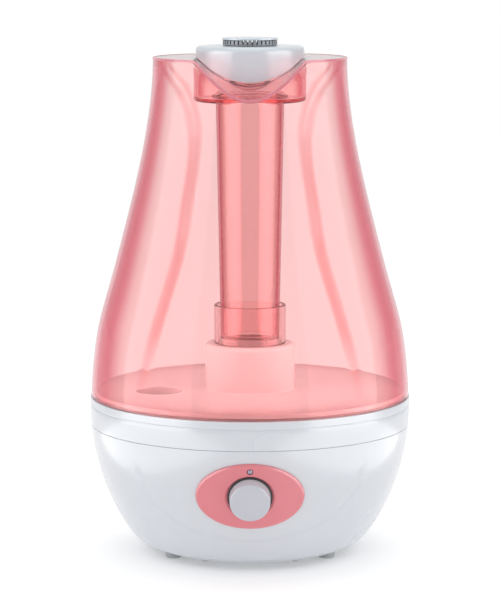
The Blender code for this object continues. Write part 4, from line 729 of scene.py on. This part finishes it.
# ---------------------------------------------------------------- tank floor
floor_low, floor_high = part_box("tank_floor")
FILLER = middle_of("filler_cap")
FILLER_BORE = 0.0140
NECK = 0.0162
NECK_FALL = 0.0116  # below the floor's underside
TOWER = 0.0280
TOWER_WALL = 0.0025
COLLAR = 0.0224
COLLAR_WALL = 0.0022
SEAT = CHIMNEY_LOW_RADIUS + 0.0003
SEAT_TOP = CHIMNEY_LOW - 0.0003
BORE_LOW = CHIMNEY_LOW_RADIUS - CHIMNEY_WALL
LOCATOR = 0.0949  # a ring under the floor, which centres the tank in the deck
LOCATOR_WALL = 0.0020
LOCATOR_LOW = FLOOR_LOW - 0.0024
floor_piece = turned(
    "tank_floor_disc",
    [
        (floor_high.x, FLOOR_LOW, 0.0005),
        (floor_high.x, FLOOR_TOP, 0.0008),
        (TOWER, FLOOR_TOP, 0.0012),
        (TOWER, TOWER_TOP, 0.0028),
        (SEAT, TOWER_TOP, 0.0004),
        (SEAT, SEAT_TOP, 0.0008),
        (BORE_LOW, SEAT_TOP, 0.0008),
        (BORE_LOW, TOWER_TOP - TOWER_WALL, 0.0008),
        (TOWER - TOWER_WALL - 0.0025, TOWER_TOP - TOWER_WALL, 0.0015),
        (TOWER - TOWER_WALL, TOWER_TOP - 2 * TOWER_WALL, 0.0015),
        (TOWER - TOWER_WALL, floor_low.z, 0.0006),
        (TOWER, floor_low.z, 0.0006),
        (TOWER, FLOOR_LOW, 0.0008),
        (LOCATOR - LOCATOR_WALL, FLOOR_LOW, 0.0004),
        (LOCATOR - LOCATOR_WALL, LOCATOR_LOW, 0.0004),
        (LOCATOR, LOCATOR_LOW, 0.0004),
        (LOCATOR, FLOOR_LOW, 0.0004),
    ],
    "floor_pink",
    160,
    longest=0.01,
)
neck = turned(
    "neck",
    [
        (0.0, FLOOR_LOW + 0.0015, 0.0),
        (NECK, FLOOR_LOW + 0.0015, 0.0),
        (NECK, FLOOR_LOW - NECK_FALL, 0.0006),
        (0.0, FLOOR_LOW - NECK_FALL, 0.0),
    ],
    "floor_pink",
    96,
    FILLER,
)
cut(floor_piece, merged([neck]), "UNION")
cut(floor_piece, merged([rod(FILLER, FLOOR_LOW - 0.02, FLOOR_TOP + 0.002, FILLER_BORE, 96)]))
settle(floor_piece, "tank", "tank_floor", slot="floor_pink")

collar = turned(
    "collar_tube",
    [
        (COLLAR - COLLAR_WALL, TOWER_TOP + 0.0001, 0.0002),
        (COLLAR, TOWER_TOP + 0.0001, 0.0002),
        (COLLAR, floor_high.z, 0.0006),
        (COLLAR - COLLAR_WALL, floor_high.z, 0.0006),
    ],
    "pipe_pink",
    128,
)
settle(collar, "tank", slot="floor_pink")

# ---------------------------------------------------------------- base
skirt = [(radius_at(base_table, z), z) for z in spread(BAND_LOW, PARTING + 0.0005, 8)]
inside = [(r - BASE_WALL, z) for r, z in skirt]
BASIN = BASE_RADIUS - 0.0120
LEDGE = 0.0960
deck_corners = [
    (0.0, BASIN_FLOOR, 0.0),
    (BASIN, BASIN_FLOOR, 0.0045),
    (BASIN, LEDGE, 0.0008),
    (BASE_RADIUS - BASE_WALL, LEDGE, 0.0004),
    (BASE_RADIUS - BASE_WALL - 0.0003, SEAM, 0.0004),
    (BASE_RADIUS, SEAM, 0.0007),
    (BASE_RADIUS, GROOVE + 0.0005, 0.0003),
    (BASE_RADIUS - 0.0005, GROOVE, 0.0002),
    *[(r, z, 0.0) for r, z in skirt],
    (radius_at(base_table, PARTING), PARTING + 0.0002, 0.0),
    (radius_at(base_table, PARTING) - 0.0002, PARTING, 0.0),
    (inside[-1][0], PARTING, 0.0003),
    *[(r, z, 0.0) for r, z in reversed(inside[:-1])],
    (BASE_RADIUS - BASE_WALL, LEDGE - 2 * BASE_WALL, 0.0),
    (BASE_RADIUS - 2 * BASE_WALL, LEDGE - BASE_WALL, 0.001),
    (BASIN + BASE_WALL, LEDGE - BASE_WALL, 0.001),
    (BASIN + BASE_WALL, BASIN_FLOOR - BASE_WALL, 0.002),
    (0.0, BASIN_FLOOR - BASE_WALL, 0.0),
]
deck = turned("deck_moulding", deck_corners, "white_abs", 240, steps=4, longest=0.012, closed=False)
FLOAT = middle_of("water_float")
AIR = (0.0, middle_of("fan_rotor")[1])
TRANSDUCER = (0.0, middle_of("transducer_disc")[1])
WINDOW = 0.0085
AIR_BORE = 0.0054
AIR_OUTSIDE = 0.0070
window = rod(TRANSDUCER, BASIN_FLOOR - 0.01, BASIN_FLOOR + 0.002, WINDOW, 96)
air_hole = rod(AIR, BASIN_FLOOR - 0.01, BASIN_FLOOR + 0.002, AIR_BORE, 64)
cut(deck, merged([window, air_hole]))
settle(deck, "base", "upper_deck", slot="white_abs")

air_pipe = turned(
    "air_chimney",
    [
        (AIR_BORE, BASIN_FLOOR - 0.012, 0.0),
        (AIR_OUTSIDE, BASIN_FLOOR - 0.012, 0.0),
        (AIR_OUTSIDE, BASIN_FLOOR + 0.0001, 0.0),
        (AIR_OUTSIDE, DECK_HIGH.z, 0.0006),
        (AIR_BORE, DECK_HIGH.z, 0.0005),
    ],
    "white_abs",
    96,
    AIR,
)
settle(air_pipe, "base", slot="white_abs")


def post(name, place, corners):
    """A post that stands in the basin, its foot sunk a little into the floor."""
    made = turned(name, corners, "white_abs", 64, place, closed=False)
    return settle(made, "base", slot="white_abs")


VALVE_POST = 0.0045
VALVE_POST_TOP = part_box("valve_pin")[0].z - 0.0003
POST_LOW = BASIN_FLOOR - 0.001
valve_corners = [
    (0.0, POST_LOW, 0.0),
    (VALVE_POST + 0.0012, POST_LOW, 0.0),
    (VALVE_POST + 0.0012, BASIN_FLOOR + 0.0002, 0.0),
    (VALVE_POST, BASIN_FLOOR + 0.0014, 0.0008),
    (VALVE_POST, VALVE_POST_TOP, 0.0006),
    (0.0, VALVE_POST_TOP, 0.0),
]
post("valve_post", FILLER, valve_corners)

FLOAT_POST = 0.0034
FLOAT_POST_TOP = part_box("float_clip")[1].z + 0.0003
float_corners = [
    (0.0, POST_LOW, 0.0),
    (FLOAT_POST, POST_LOW, 0.0),
    (FLOAT_POST, FLOAT_POST_TOP, 0.0006),
    (0.0, FLOAT_POST_TOP, 0.0),
]
post("float_post", FLOAT, float_corners)

BEZEL_TOP = BASIN_FLOOR + 0.0004
bezel = turned(
    "transducer_bezel",
    [
        (WINDOW - 0.0006, BASIN_FLOOR - 0.0020, 0.0002),
        (WINDOW - 0.0006, BEZEL_TOP, 0.0002),
        (WINDOW + 0.0022, BEZEL_TOP, 0.0003),
        (WINDOW + 0.0022, BASIN_FLOOR - 0.0001, 0.0),
        (WINDOW - 0.0001, BASIN_FLOOR - 0.0001, 0.0),
        (WINDOW - 0.0001, BASIN_FLOOR - 0.0020, 0.0),
    ],
    "aluminium",
    96,
    TRANSDUCER,
)
settle(bezel, "base", slot="aluminium")

# The bowl, with a faint smile-shaped crease round the panel.
SMILE_CENTRE = 0.0715
SMILE_HALF = (0.0690, 0.0490)
SMILE_DEPTH = 0.0008
SMILE_WIDTH = 0.0011


def smile(x, y, z):
    """Depth of the crease at this point of the bowl's front."""
    if y > -0.02 or z > SMILE_CENTRE:
        return 0.0
    reach = math.hypot(x / SMILE_HALF[0], (z - SMILE_CENTRE) / SMILE_HALF[1])
    off = (reach - 1) * SMILE_HALF[1] / SMILE_WIDTH
    fade = min((SMILE_CENTRE - z) / 0.012, 1.0)
    return SMILE_DEPTH * fade * math.exp(-off * off)


BOWL_FOOT = 0.0613  # the radius that the bowl's underside starts from
COVER_SEAT = 0.0073  # the underside of the flange that the bottom plate closes
FLANGE_TOP = 0.0098
FLANGE_BORE = 0.0520
bowl_heights = spread(PARTING - 0.0008, CURVE_LOW[1] + 0.0003, 110)
inner_heights = spread(0.016, PARTING - 0.002, 14)


def bowl_outline(turn):
    """The bowl's section at this angle, down the outside, under the foot and up the inside."""
    cosine, sine = math.cos(turn), math.sin(turn)
    outer = []
    for z in bowl_heights:
        r = radius_at(base_table, z)
        outer.append((r - smile(r * cosine, r * sine, z), z, 0.0))
    inner = [(radius_at(base_table, z) - BASE_WALL * 1.15, z, 0.0) for z in inner_heights]
    top_radius = radius_at(base_table, PARTING)
    corners = [
        (top_radius - BASE_WALL, PARTING - 0.00012, 0.0002),
        (top_radius - 0.0003, PARTING - 0.00012, 0.0),
        (radius_at(base_table, PARTING - 0.0003), PARTING - 0.0003, 0.0),
        *outer,
        (BOWL_FOOT + 0.0010, 0.0047, 0.0012),
        (BOWL_FOOT - 0.0010, 0.0045, 0.0003),
        (BOWL_FOOT - 0.0010, COVER_SEAT, 0.0003),
        (FLANGE_BORE, COVER_SEAT, 0.0003),
        (FLANGE_BORE, FLANGE_TOP, 0.0003),
        (0.0640, FLANGE_TOP, 0.001),
        *inner,
    ]
    return soften(corners, 3)


bowl = sweep("bowl_moulding", 320, bowl_outline, "white_abs")


def wall_matrix(height, rear=False):
    """Axes on the base's side: X across, Y up the slope, Z outwards."""
    side = 1.0 if rear else -1.0
    lean = slope_at(base_table, height)
    up = Vector((0.0, side * lean, 1.0)).normalized()
    out = Vector((0.0, side * up.z, -side * up.y))
    across = up.cross(out)
    axes = Matrix((across, up, out)).transposed().to_4x4()
    return Matrix.Translation((0.0, AXIS_Y + side * radius_at(base_table, height), height)) @ axes


def local_piece(name, corners, slot, matrix, sides=128, closed=True):
    """A turned piece whose axis is this matrix's Z."""
    made = turned(name, corners, slot, sides, (0.0, 0.0), closed=closed)
    made.data.transform(matrix)
    return made


knob_joint = next(j for j in frame["joints"] if j["name"] == "knob_turn")
PANEL_HEIGHT = knob_joint["pos_m"][2]
LED_HEIGHT = (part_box("indicator_lens")[0].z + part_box("indicator_lens")[1].z) / 2
JACK_HEIGHT = (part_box("power_jack")[0].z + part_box("power_jack")[1].z) / 2
panel_frame = wall_matrix(PANEL_HEIGHT)
led_frame = wall_matrix(LED_HEIGHT)
jack_frame = wall_matrix(JACK_HEIGHT, rear=True)


def wall_rod(matrix, radius):
    """A round cutter through the base's side."""
    made = rod((0.0, 0.0), -0.008, 0.008, radius, 64)
    made.data.transform(matrix)
    return made


SHAFT_HOLE, LED_HOLE, JACK_HOLE = 0.0041, 0.0018, 0.0055
wall_holes = ((panel_frame, SHAFT_HOLE), (led_frame, LED_HOLE), (jack_frame, JACK_HOLE))
cut(bowl, merged([wall_rod(place, radius) for place, radius in wall_holes]))
settle(bowl, "base", "base_bowl", slot="white_abs")

# ---------------------------------------------------------------- control panel
PANEL_HALF = (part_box("control_panel")[1].x, 0.0217)
PANEL_RISE = 0.0017
PANEL_UNDER = 0.0002  # the gap between the panel and the bowl
PANEL_RIM = 0.0016  # the width of its rounded edge
WELL_EDGE = 0.0010
KNOB_WELL = 0.0133
RINGS = 26
PANEL_SIDES = 192


def panel_points():
    """A shell on the bowl's side between the knob's well and an ellipse, with a raised round rim."""
    rows = []
    for j in range(RINGS + 1):
        share = j / RINGS
        row = []
        for k in range(PANEL_SIDES):
            turn = math.tau * k / PANEL_SIDES
            outer = Vector((PANEL_HALF[0] * math.cos(turn), PANEL_HALF[1] * math.sin(turn)))
            inner = Vector((math.cos(turn), math.sin(turn))) * KNOB_WELL
            flat = inner.lerp(outer, share**0.8)
            row.append((flat.x, flat.y, rim_rise((outer - flat).length, (flat - inner).length)))
        rows.append(row)
    return rows


def rim_rise(from_edge, from_well):
    """The panel's height over the bowl: a raised rounded rim, a slightly sunk field, a soft well edge."""
    rim = PANEL_RISE + 0.0004 * math.exp(-(((from_edge - 0.0022) / 0.0013) ** 2))
    if from_edge < PANEL_RIM:
        t = 1 - from_edge / PANEL_RIM
        rim -= (PANEL_RISE - PANEL_UNDER) * (1 - math.sqrt(max(1 - t * t, 0.0)))
    if from_well < WELL_EDGE:
        t = 1 - from_well / WELL_EDGE
        rim -= 0.0009 * (1 - math.sqrt(max(1 - t * t, 0.0)))
    return rim


def on_wall(x, y, rise):
    """A panel point: x across and y up the slope from the panel's middle, rise off the wall."""
    start = panel_frame @ Vector((x, y, 0.0))
    z = start.z
    r = radius_at(base_table, z)
    lean = slope_at(base_table, z)
    turn = math.asin(start.x / r)
    normal = Vector((math.sin(turn), -math.cos(turn), -lean)).normalized()
    foot = Vector((r * math.sin(turn), AXIS_Y - r * math.cos(turn), z))
    return foot + normal * rise


def panel_piece():
    """The panel as one closed mesh: its face in rings, then a flat back."""
    rows = panel_points()
    points = []
    for row in rows:
        points += [on_wall(x, y, rise) for x, y, rise in row]
    under = len(points)
    for row in (rows[-1], rows[0]):
        points += [on_wall(x, y, PANEL_UNDER) for x, y, rise in row]
    faces = []
    for j in range(RINGS):
        for k in range(PANEL_SIDES):
            after = (k + 1) % PANEL_SIDES
            a, b = j * PANEL_SIDES, (j + 1) * PANEL_SIDES
            faces.append((a + k, b + k, b + after, a + after))
    last, inner_under = RINGS * PANEL_SIDES, under + PANEL_SIDES
    for k in range(PANEL_SIDES):
        after = (k + 1) % PANEL_SIDES
        faces.append((last + k, under + k, under + after, last + after))
        faces.append((under + k, inner_under + k, inner_under + after, under + after))
        faces.append((inner_under + k, k, after, inner_under + after))
    return mesh_object("panel_moulding", points, faces, "panel_pink")


panel = panel_piece()
cut(panel, merged([wall_rod(led_frame, LED_HOLE + 0.0001)]))
settle(panel, "base", "control_panel", slot="panel_pink")

lens = local_piece(
    "indicator_dome",
    [
        (0.0, -0.0020, 0.0),
        (0.0015, -0.0020, 0.0),
        (0.0015, 0.0016, 0.0008),
        (0.0, 0.0022, 0.0),
    ],
    "led_blue",
    led_frame,
    48,
    closed=False,
)
settle(lens, "base", "indicator_lens", slot="led_blue")

knob_corners = [
    (0.0, 0.0092, 0.0),
    (0.0104, 0.0092, 0.0),
    (0.0120, 0.0084, 0.0007),
    (0.0124, 0.0012, 0.0004),
    (0.0106, 0.0012, 0.0004),
    (0.0102, 0.0074, 0.0006),
    (0.0047, 0.0074, 0.0005),
    (0.0047, 0.0046, 0.0003),
    (0.0025, 0.0046, 0.0003),
    (0.0025, 0.0074, 0.0),
    (0.0, 0.0074, 0.0),
]
knob = local_piece("knob_cap", knob_corners, "knob_grey", panel_frame, 144, closed=False)
settle(knob, "knob", "knob", slot="knob_grey")
# A black ring in the gap round the knob: painted shade under the knob's edge.
well = local_piece(
    "knob_gap_painted_shade",
    [(0.0058, 0.0004, 0.0), (0.0134, 0.0004, 0.0), (0.0134, 0.0011, 0.0002), (0.0058, 0.0011, 0.0002)],
    "black_plastic",
    panel_frame,
    96,
)
settle(well, "base", slot="black_plastic")

# ---------------------------------------------------------------- nozzle
COVER_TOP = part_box("nozzle_cover")[1].z
COVER_FILLET = 0.0052
COVER_WALL = 0.0022
OUTLET = 0.0130
COLLAR_OUT = 0.0176  # the short tube under the lid, round the outlet
COLLAR_IN = COLLAR_OUT - 0.0016
COLLAR_END = COVER_TOP - 0.0140


def cover_outline(turn):
    """The lid's section: its skirt reaches down to the scoops, with a rounded lower edge."""
    x, y = COVER_RADIUS * math.cos(turn), COVER_RADIUS * math.sin(turn)
    foot = TANK_TOP + 0.0003 - scoop_depth(x, 0.0)
    under = COVER_TOP - COVER_WALL
    corners = [
        (COVER_RADIUS, foot, 0.0005),
        (COVER_RADIUS, COVER_TOP, COVER_FILLET),
        (OUTLET, COVER_TOP, 0.0006),
        (OUTLET, under, 0.0004),
        (COLLAR_IN, under, 0.0003),
        (COLLAR_IN, COLLAR_END, 0.0003),
        (COLLAR_OUT, COLLAR_END, 0.0003),
        (COLLAR_OUT, under, 0.0008),
        (COVER_RADIUS - COVER_WALL, under, 0.0028),
        (COVER_RADIUS - COVER_WALL, foot, 0.0005),
    ]
    return soften(corners, 8)


cover = sweep("nozzle_lid", 256, cover_outline, "nozzle_white")
settle(cover, "cover", "nozzle_cover", slot="nozzle_white")

rotor_low, rotor_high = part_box("nozzle_rotor")
ROTOR = rotor_high.x
ROTOR_WALL = 0.0022
SPIGOT = OUTLET - 0.0005
BORE = SPIGOT - 0.0016
RING_LOW = COVER_TOP + 0.0003
RING_FLOOR = RING_LOW + 0.0012
rotor = turned(
    "nozzle_ring",
    [
        (BORE, rotor_low.z, 0.0002),
        (SPIGOT, rotor_low.z, 0.0002),
        (SPIGOT, RING_LOW, 0.0),
        (ROTOR, RING_LOW, 0.0003),
        (ROTOR, rotor_high.z, 0.0003),
        (ROTOR - ROTOR_WALL, rotor_high.z, 0.0003),
        (ROTOR - ROTOR_WALL, RING_FLOOR, 0.0003),
        (BORE, RING_FLOOR, 0.0003),
    ],
    "rotor_grey",
    180,
    steps=3,
)
SLOTS = 36
SLOT_LOW = RING_LOW + 0.0007
SLOT_SIZE = (0.0060, 0.0011, 0.0030)
slots = []
for k in range(SLOTS):
    turn = Matrix.Rotation((k + 0.5) * math.tau / SLOTS, 4, "Z")
    shift = Matrix.Translation((ROTOR, 0.0, SLOT_LOW + SLOT_SIZE[2] / 2))
    centre = Matrix.Translation((0.0, AXIS_Y, 0.0))
    slots.append(bar(centre @ turn @ shift @ Matrix.Diagonal((*SLOT_SIZE, 1.0))))
cut(rotor, merged(slots))
settle(rotor, "rotor", "nozzle_rotor", slot="rotor_grey")

disc_low, disc_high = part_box("nozzle_cap")
DISH = disc_high.z - 0.00015
disc = turned(
    "nozzle_disc",
    [
        (0.0, disc_high.z, 0.0),
        (0.0040, disc_high.z, 0.0),
        (0.0060, DISH, 0.0003),
        (0.0125, DISH, 0.0003),
        (0.0135, disc_high.z, 0.0003),
        (disc_high.x, disc_high.z, 0.0005),
        (disc_high.x, disc_low.z, 0.0003),
        (0.0, disc_low.z, 0.0),
    ],
    "nozzle_white",
    144,
    closed=False,
)
settle(disc, "rotor", "nozzle_cap", slot="nozzle_white")

# ---------------------------------------------------------------- filler cap and float
cap_low, cap_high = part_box("filler_cap")
CAP_RADIUS = cap_high.x - FILLER[0]
CAP_WALL = 0.0022
CAP_FLOOR = cap_low.z + 0.0024
GRIPS = 48
GRIP_DEPTH = 0.00045
PORTS = 6
PORT_CIRCLE = 0.0068
PORT = 0.0020
cap_outline = [
    (0.0017, cap_low.z, 0.0003),
    (CAP_RADIUS, cap_low.z, 0.0008),
    (CAP_RADIUS, cap_high.z, 0.0005),
    (CAP_RADIUS - CAP_WALL, cap_high.z, 0.0004),
    (CAP_RADIUS - CAP_WALL, CAP_FLOOR, 0.0005),
    (0.0023, CAP_FLOOR, 0.0003),
]


def cap_section(turn):
    """The cap's section at this angle: only its outside has the grip's ribs."""
    rib = GRIP_DEPTH * max(math.cos(turn * GRIPS), 0.0)
    corners = [(r - rib if r > CAP_RADIUS - 0.0005 else r, z, f) for r, z, f in cap_outline]
    return divided(soften(corners, 3), 0.004)


cap = sweep("filler_cap_moulding", 384, cap_section, "white_abs", FILLER)
ports = []
for k in range(PORTS):
    turn = math.tau * k / PORTS
    place = (FILLER[0] + PORT_CIRCLE * math.cos(turn), FILLER[1] + PORT_CIRCLE * math.sin(turn))
    ports.append(rod(place, cap_low.z - 0.002, cap_low.z + 0.005, PORT, 32))
cut(cap, merged(ports))
settle(cap, "cap", "filler_cap", slot="white_abs")

float_low, float_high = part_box("water_float")
FLOAT_BORE = FLOAT_POST + 0.0005
FLOAT_RADIUS = float_high.x - FLOAT[0]
float_ring = turned(
    "float_ring",
    [
        (FLOAT_BORE, float_low.z, 0.0006),
        (FLOAT_RADIUS, float_low.z, 0.0014),
        (FLOAT_RADIUS, float_high.z, 0.0014),
        (FLOAT_BORE, float_high.z, 0.0006),
    ],
    "float_foam",
    96,
    FLOAT,
)
settle(float_ring, "float", "water_float", slot="float_foam")

# ---------------------------------------------------------------- underside
plate_low, plate_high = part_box("bottom_cover")
bottom = turned(
    "bottom_plate",
    [
        (0.0, plate_low.z, 0.0),
        (plate_high.x, plate_low.z, 0.0005),
        (plate_high.x, plate_high.z, 0.0004),
        (0.0, plate_high.z, 0.0),
    ],
    "white_abs",
    160,
    steps=4,
    closed=False,
)
GRILLE_SLOTS = 9
GRILLE_PITCH = 0.0044
GRILLE_RADIUS = 0.0215
GRILLE_SLOT = 0.0011  # half a slot's width
SCREW_HOLE = 0.0018


def plate_rod(place, radius, sides):
    """A round cutter through the bottom plate."""
    return rod(place, plate_low.z - 0.002, plate_high.z + 0.002, radius, sides)


bars, ends = [], []
for k in range(GRILLE_SLOTS):
    x = (k - GRILLE_SLOTS // 2) * GRILLE_PITCH
    half = math.sqrt(GRILLE_RADIUS**2 - x * x) - 0.001
    ends += [plate_rod((x, AIR[1] + side * half), GRILLE_SLOT, 24) for side in (-1, 1)]
    shift = Matrix.Translation((x, AIR[1], (plate_low.z + plate_high.z) / 2))
    bars.append(bar(shift @ Matrix.Diagonal((2 * GRILLE_SLOT, 2 * half, 0.0080, 1.0))))
screw_holes = [plate_rod(middle_of(f"case_screw_{k + 1}"), SCREW_HOLE, 32) for k in range(4)]
cut(bottom, merged(bars))
cut(bottom, merged(ends + screw_holes))
settle(bottom, "base", "bottom_cover", slot="white_abs")

for k in range(4):
    low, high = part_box(f"foot_{k + 1}")
    radius = (high.x - low.x) / 2
    foot = turned(
        f"rubber_foot_{k + 1}",
        [
            (0.0, 0.0, 0.0),
            (radius, 0.0, 0.0010),
            (radius, high.z, 0.0003),
            (0.0, high.z, 0.0),
        ],
        "rubber",
        64,
        middle_of(f"foot_{k + 1}"),
        closed=False,
    )
    settle(foot, "base", f"foot_{k + 1}", slot="rubber")

# ---------------------------------------------------------------- CAD nodes that stay
slot_of = {part["node"]: part["material_slot"] for part in frame["record"]["subparts"]}
for name, node in frame["nodes"].items():
    node.data.materials.clear()
    node.data.materials.append(paint[slot_of[name]])

# ---------------------------------------------------------------- floor, lights and camera
FLOOR_HALF = 30.0
floor_corners = [(x * FLOOR_HALF, y * FLOOR_HALF, 0.0) for x, y in ((-1, -1), (1, -1), (1, 1), (-1, 1))]
stage_mesh = bpy.data.meshes.new("floor")
stage_mesh.from_pydata(floor_corners, [], [(0, 1, 2, 3)])
floor_nodes = Nodes("pale_floor")
floor_tone = floor_nodes.ramp(floor_nodes.noise(2.0), (0.93, 0.93, 0.93), (0.95, 0.95, 0.95))
floor_nodes.surface(Base_Color=floor_tone, Roughness=0.9, Specular_IOR_Level=0.1)
floor_nodes.surface(Emission_Color=(1.0, 1.0, 1.0), Emission_Strength=0.20)
stage_mesh.materials.append(floor_nodes.material)
placed("floor", stage_mesh)

world = bpy.data.worlds.new("studio")
world.use_nodes = True
bpy.context.scene.world = world
background = world.node_tree.nodes["Background"]
background.inputs["Color"].default_value = (1.0, 1.0, 1.0, 1.0)
background.inputs["Strength"].default_value = 0.86


def softbox(name, azimuth, distance, height, size, power):
    """A rectangular area light at this angle from the front, aimed at the object's middle."""
    light = bpy.data.lights.new(name, "AREA")
    light.shape = "RECTANGLE"
    light.size, light.size_y = size
    light.energy = power
    lamp = placed(name, light)
    turn = math.radians(azimuth)
    lamp.location = (distance * math.sin(turn), AXIS_Y - distance * math.cos(turn), height)
    aim = Vector((0.0, AXIS_Y, 0.14)) - lamp.location
    lamp.rotation_euler = aim.to_track_quat("-Z", "Y").to_euler()
    return lamp


SIDE = 68.0  # degrees from the front to the light panels at each side
softbox("top", 180.0, 0.3, 1.9, (1.2, 1.2), 6.0)
for end, azimuth in (("left", -SIDE), ("right", SIDE)):
    # An upright panel, for the bright bands down the tank's sides.
    strip = softbox(f"strip_{end}", azimuth, 0.60, 0.45, (0.66, 0.9), 7.5)
    strip.rotation_euler.x = math.radians(90)
    strip.visible_diffuse = False
    # A panel that lies on the floor, face up, for the reflections low on the base.
    low_panel = softbox(f"low_{end}", azimuth, 0.44, 0.002, (0.56, 0.50), 1.9)
    low_panel.rotation_euler = (math.pi, 0.0, math.radians(azimuth))
    low_panel.visible_camera = False
    low_panel.visible_diffuse = False
    low_panel.visible_transmission = False
# Seen only through clear plastic, so that it lights the tank's floor.
inner_fill = softbox("inner_fill", 180.0, 0.1, 1.5, (2.2, 2.2), 20.0)
inner_fill.visible_diffuse = False
inner_fill.visible_glossy = False

CAMERA_DISTANCE = 1.5988
CAMERA_HEIGHT = 0.3782
CAMERA_TILT = 82.143  # degrees, where 90 looks level
CLEAR_WALLS = 28  # bounces enough for light to cross every wall of the tank
camera_data = bpy.data.cameras.new("camera")
camera_data.sensor_width = 36.0
camera_data.lens = 154.97
camera = placed("camera", camera_data)
camera.location = (0.0, AXIS_Y - CAMERA_DISTANCE, CAMERA_HEIGHT)
camera.rotation_euler = (math.radians(CAMERA_TILT), 0.0, 0.0)
scene = bpy.context.scene
scene.camera = camera
scene.view_settings.view_transform = "Standard"
scene.cycles.max_bounces = CLEAR_WALLS
scene.cycles.transmission_bounces = CLEAR_WALLS
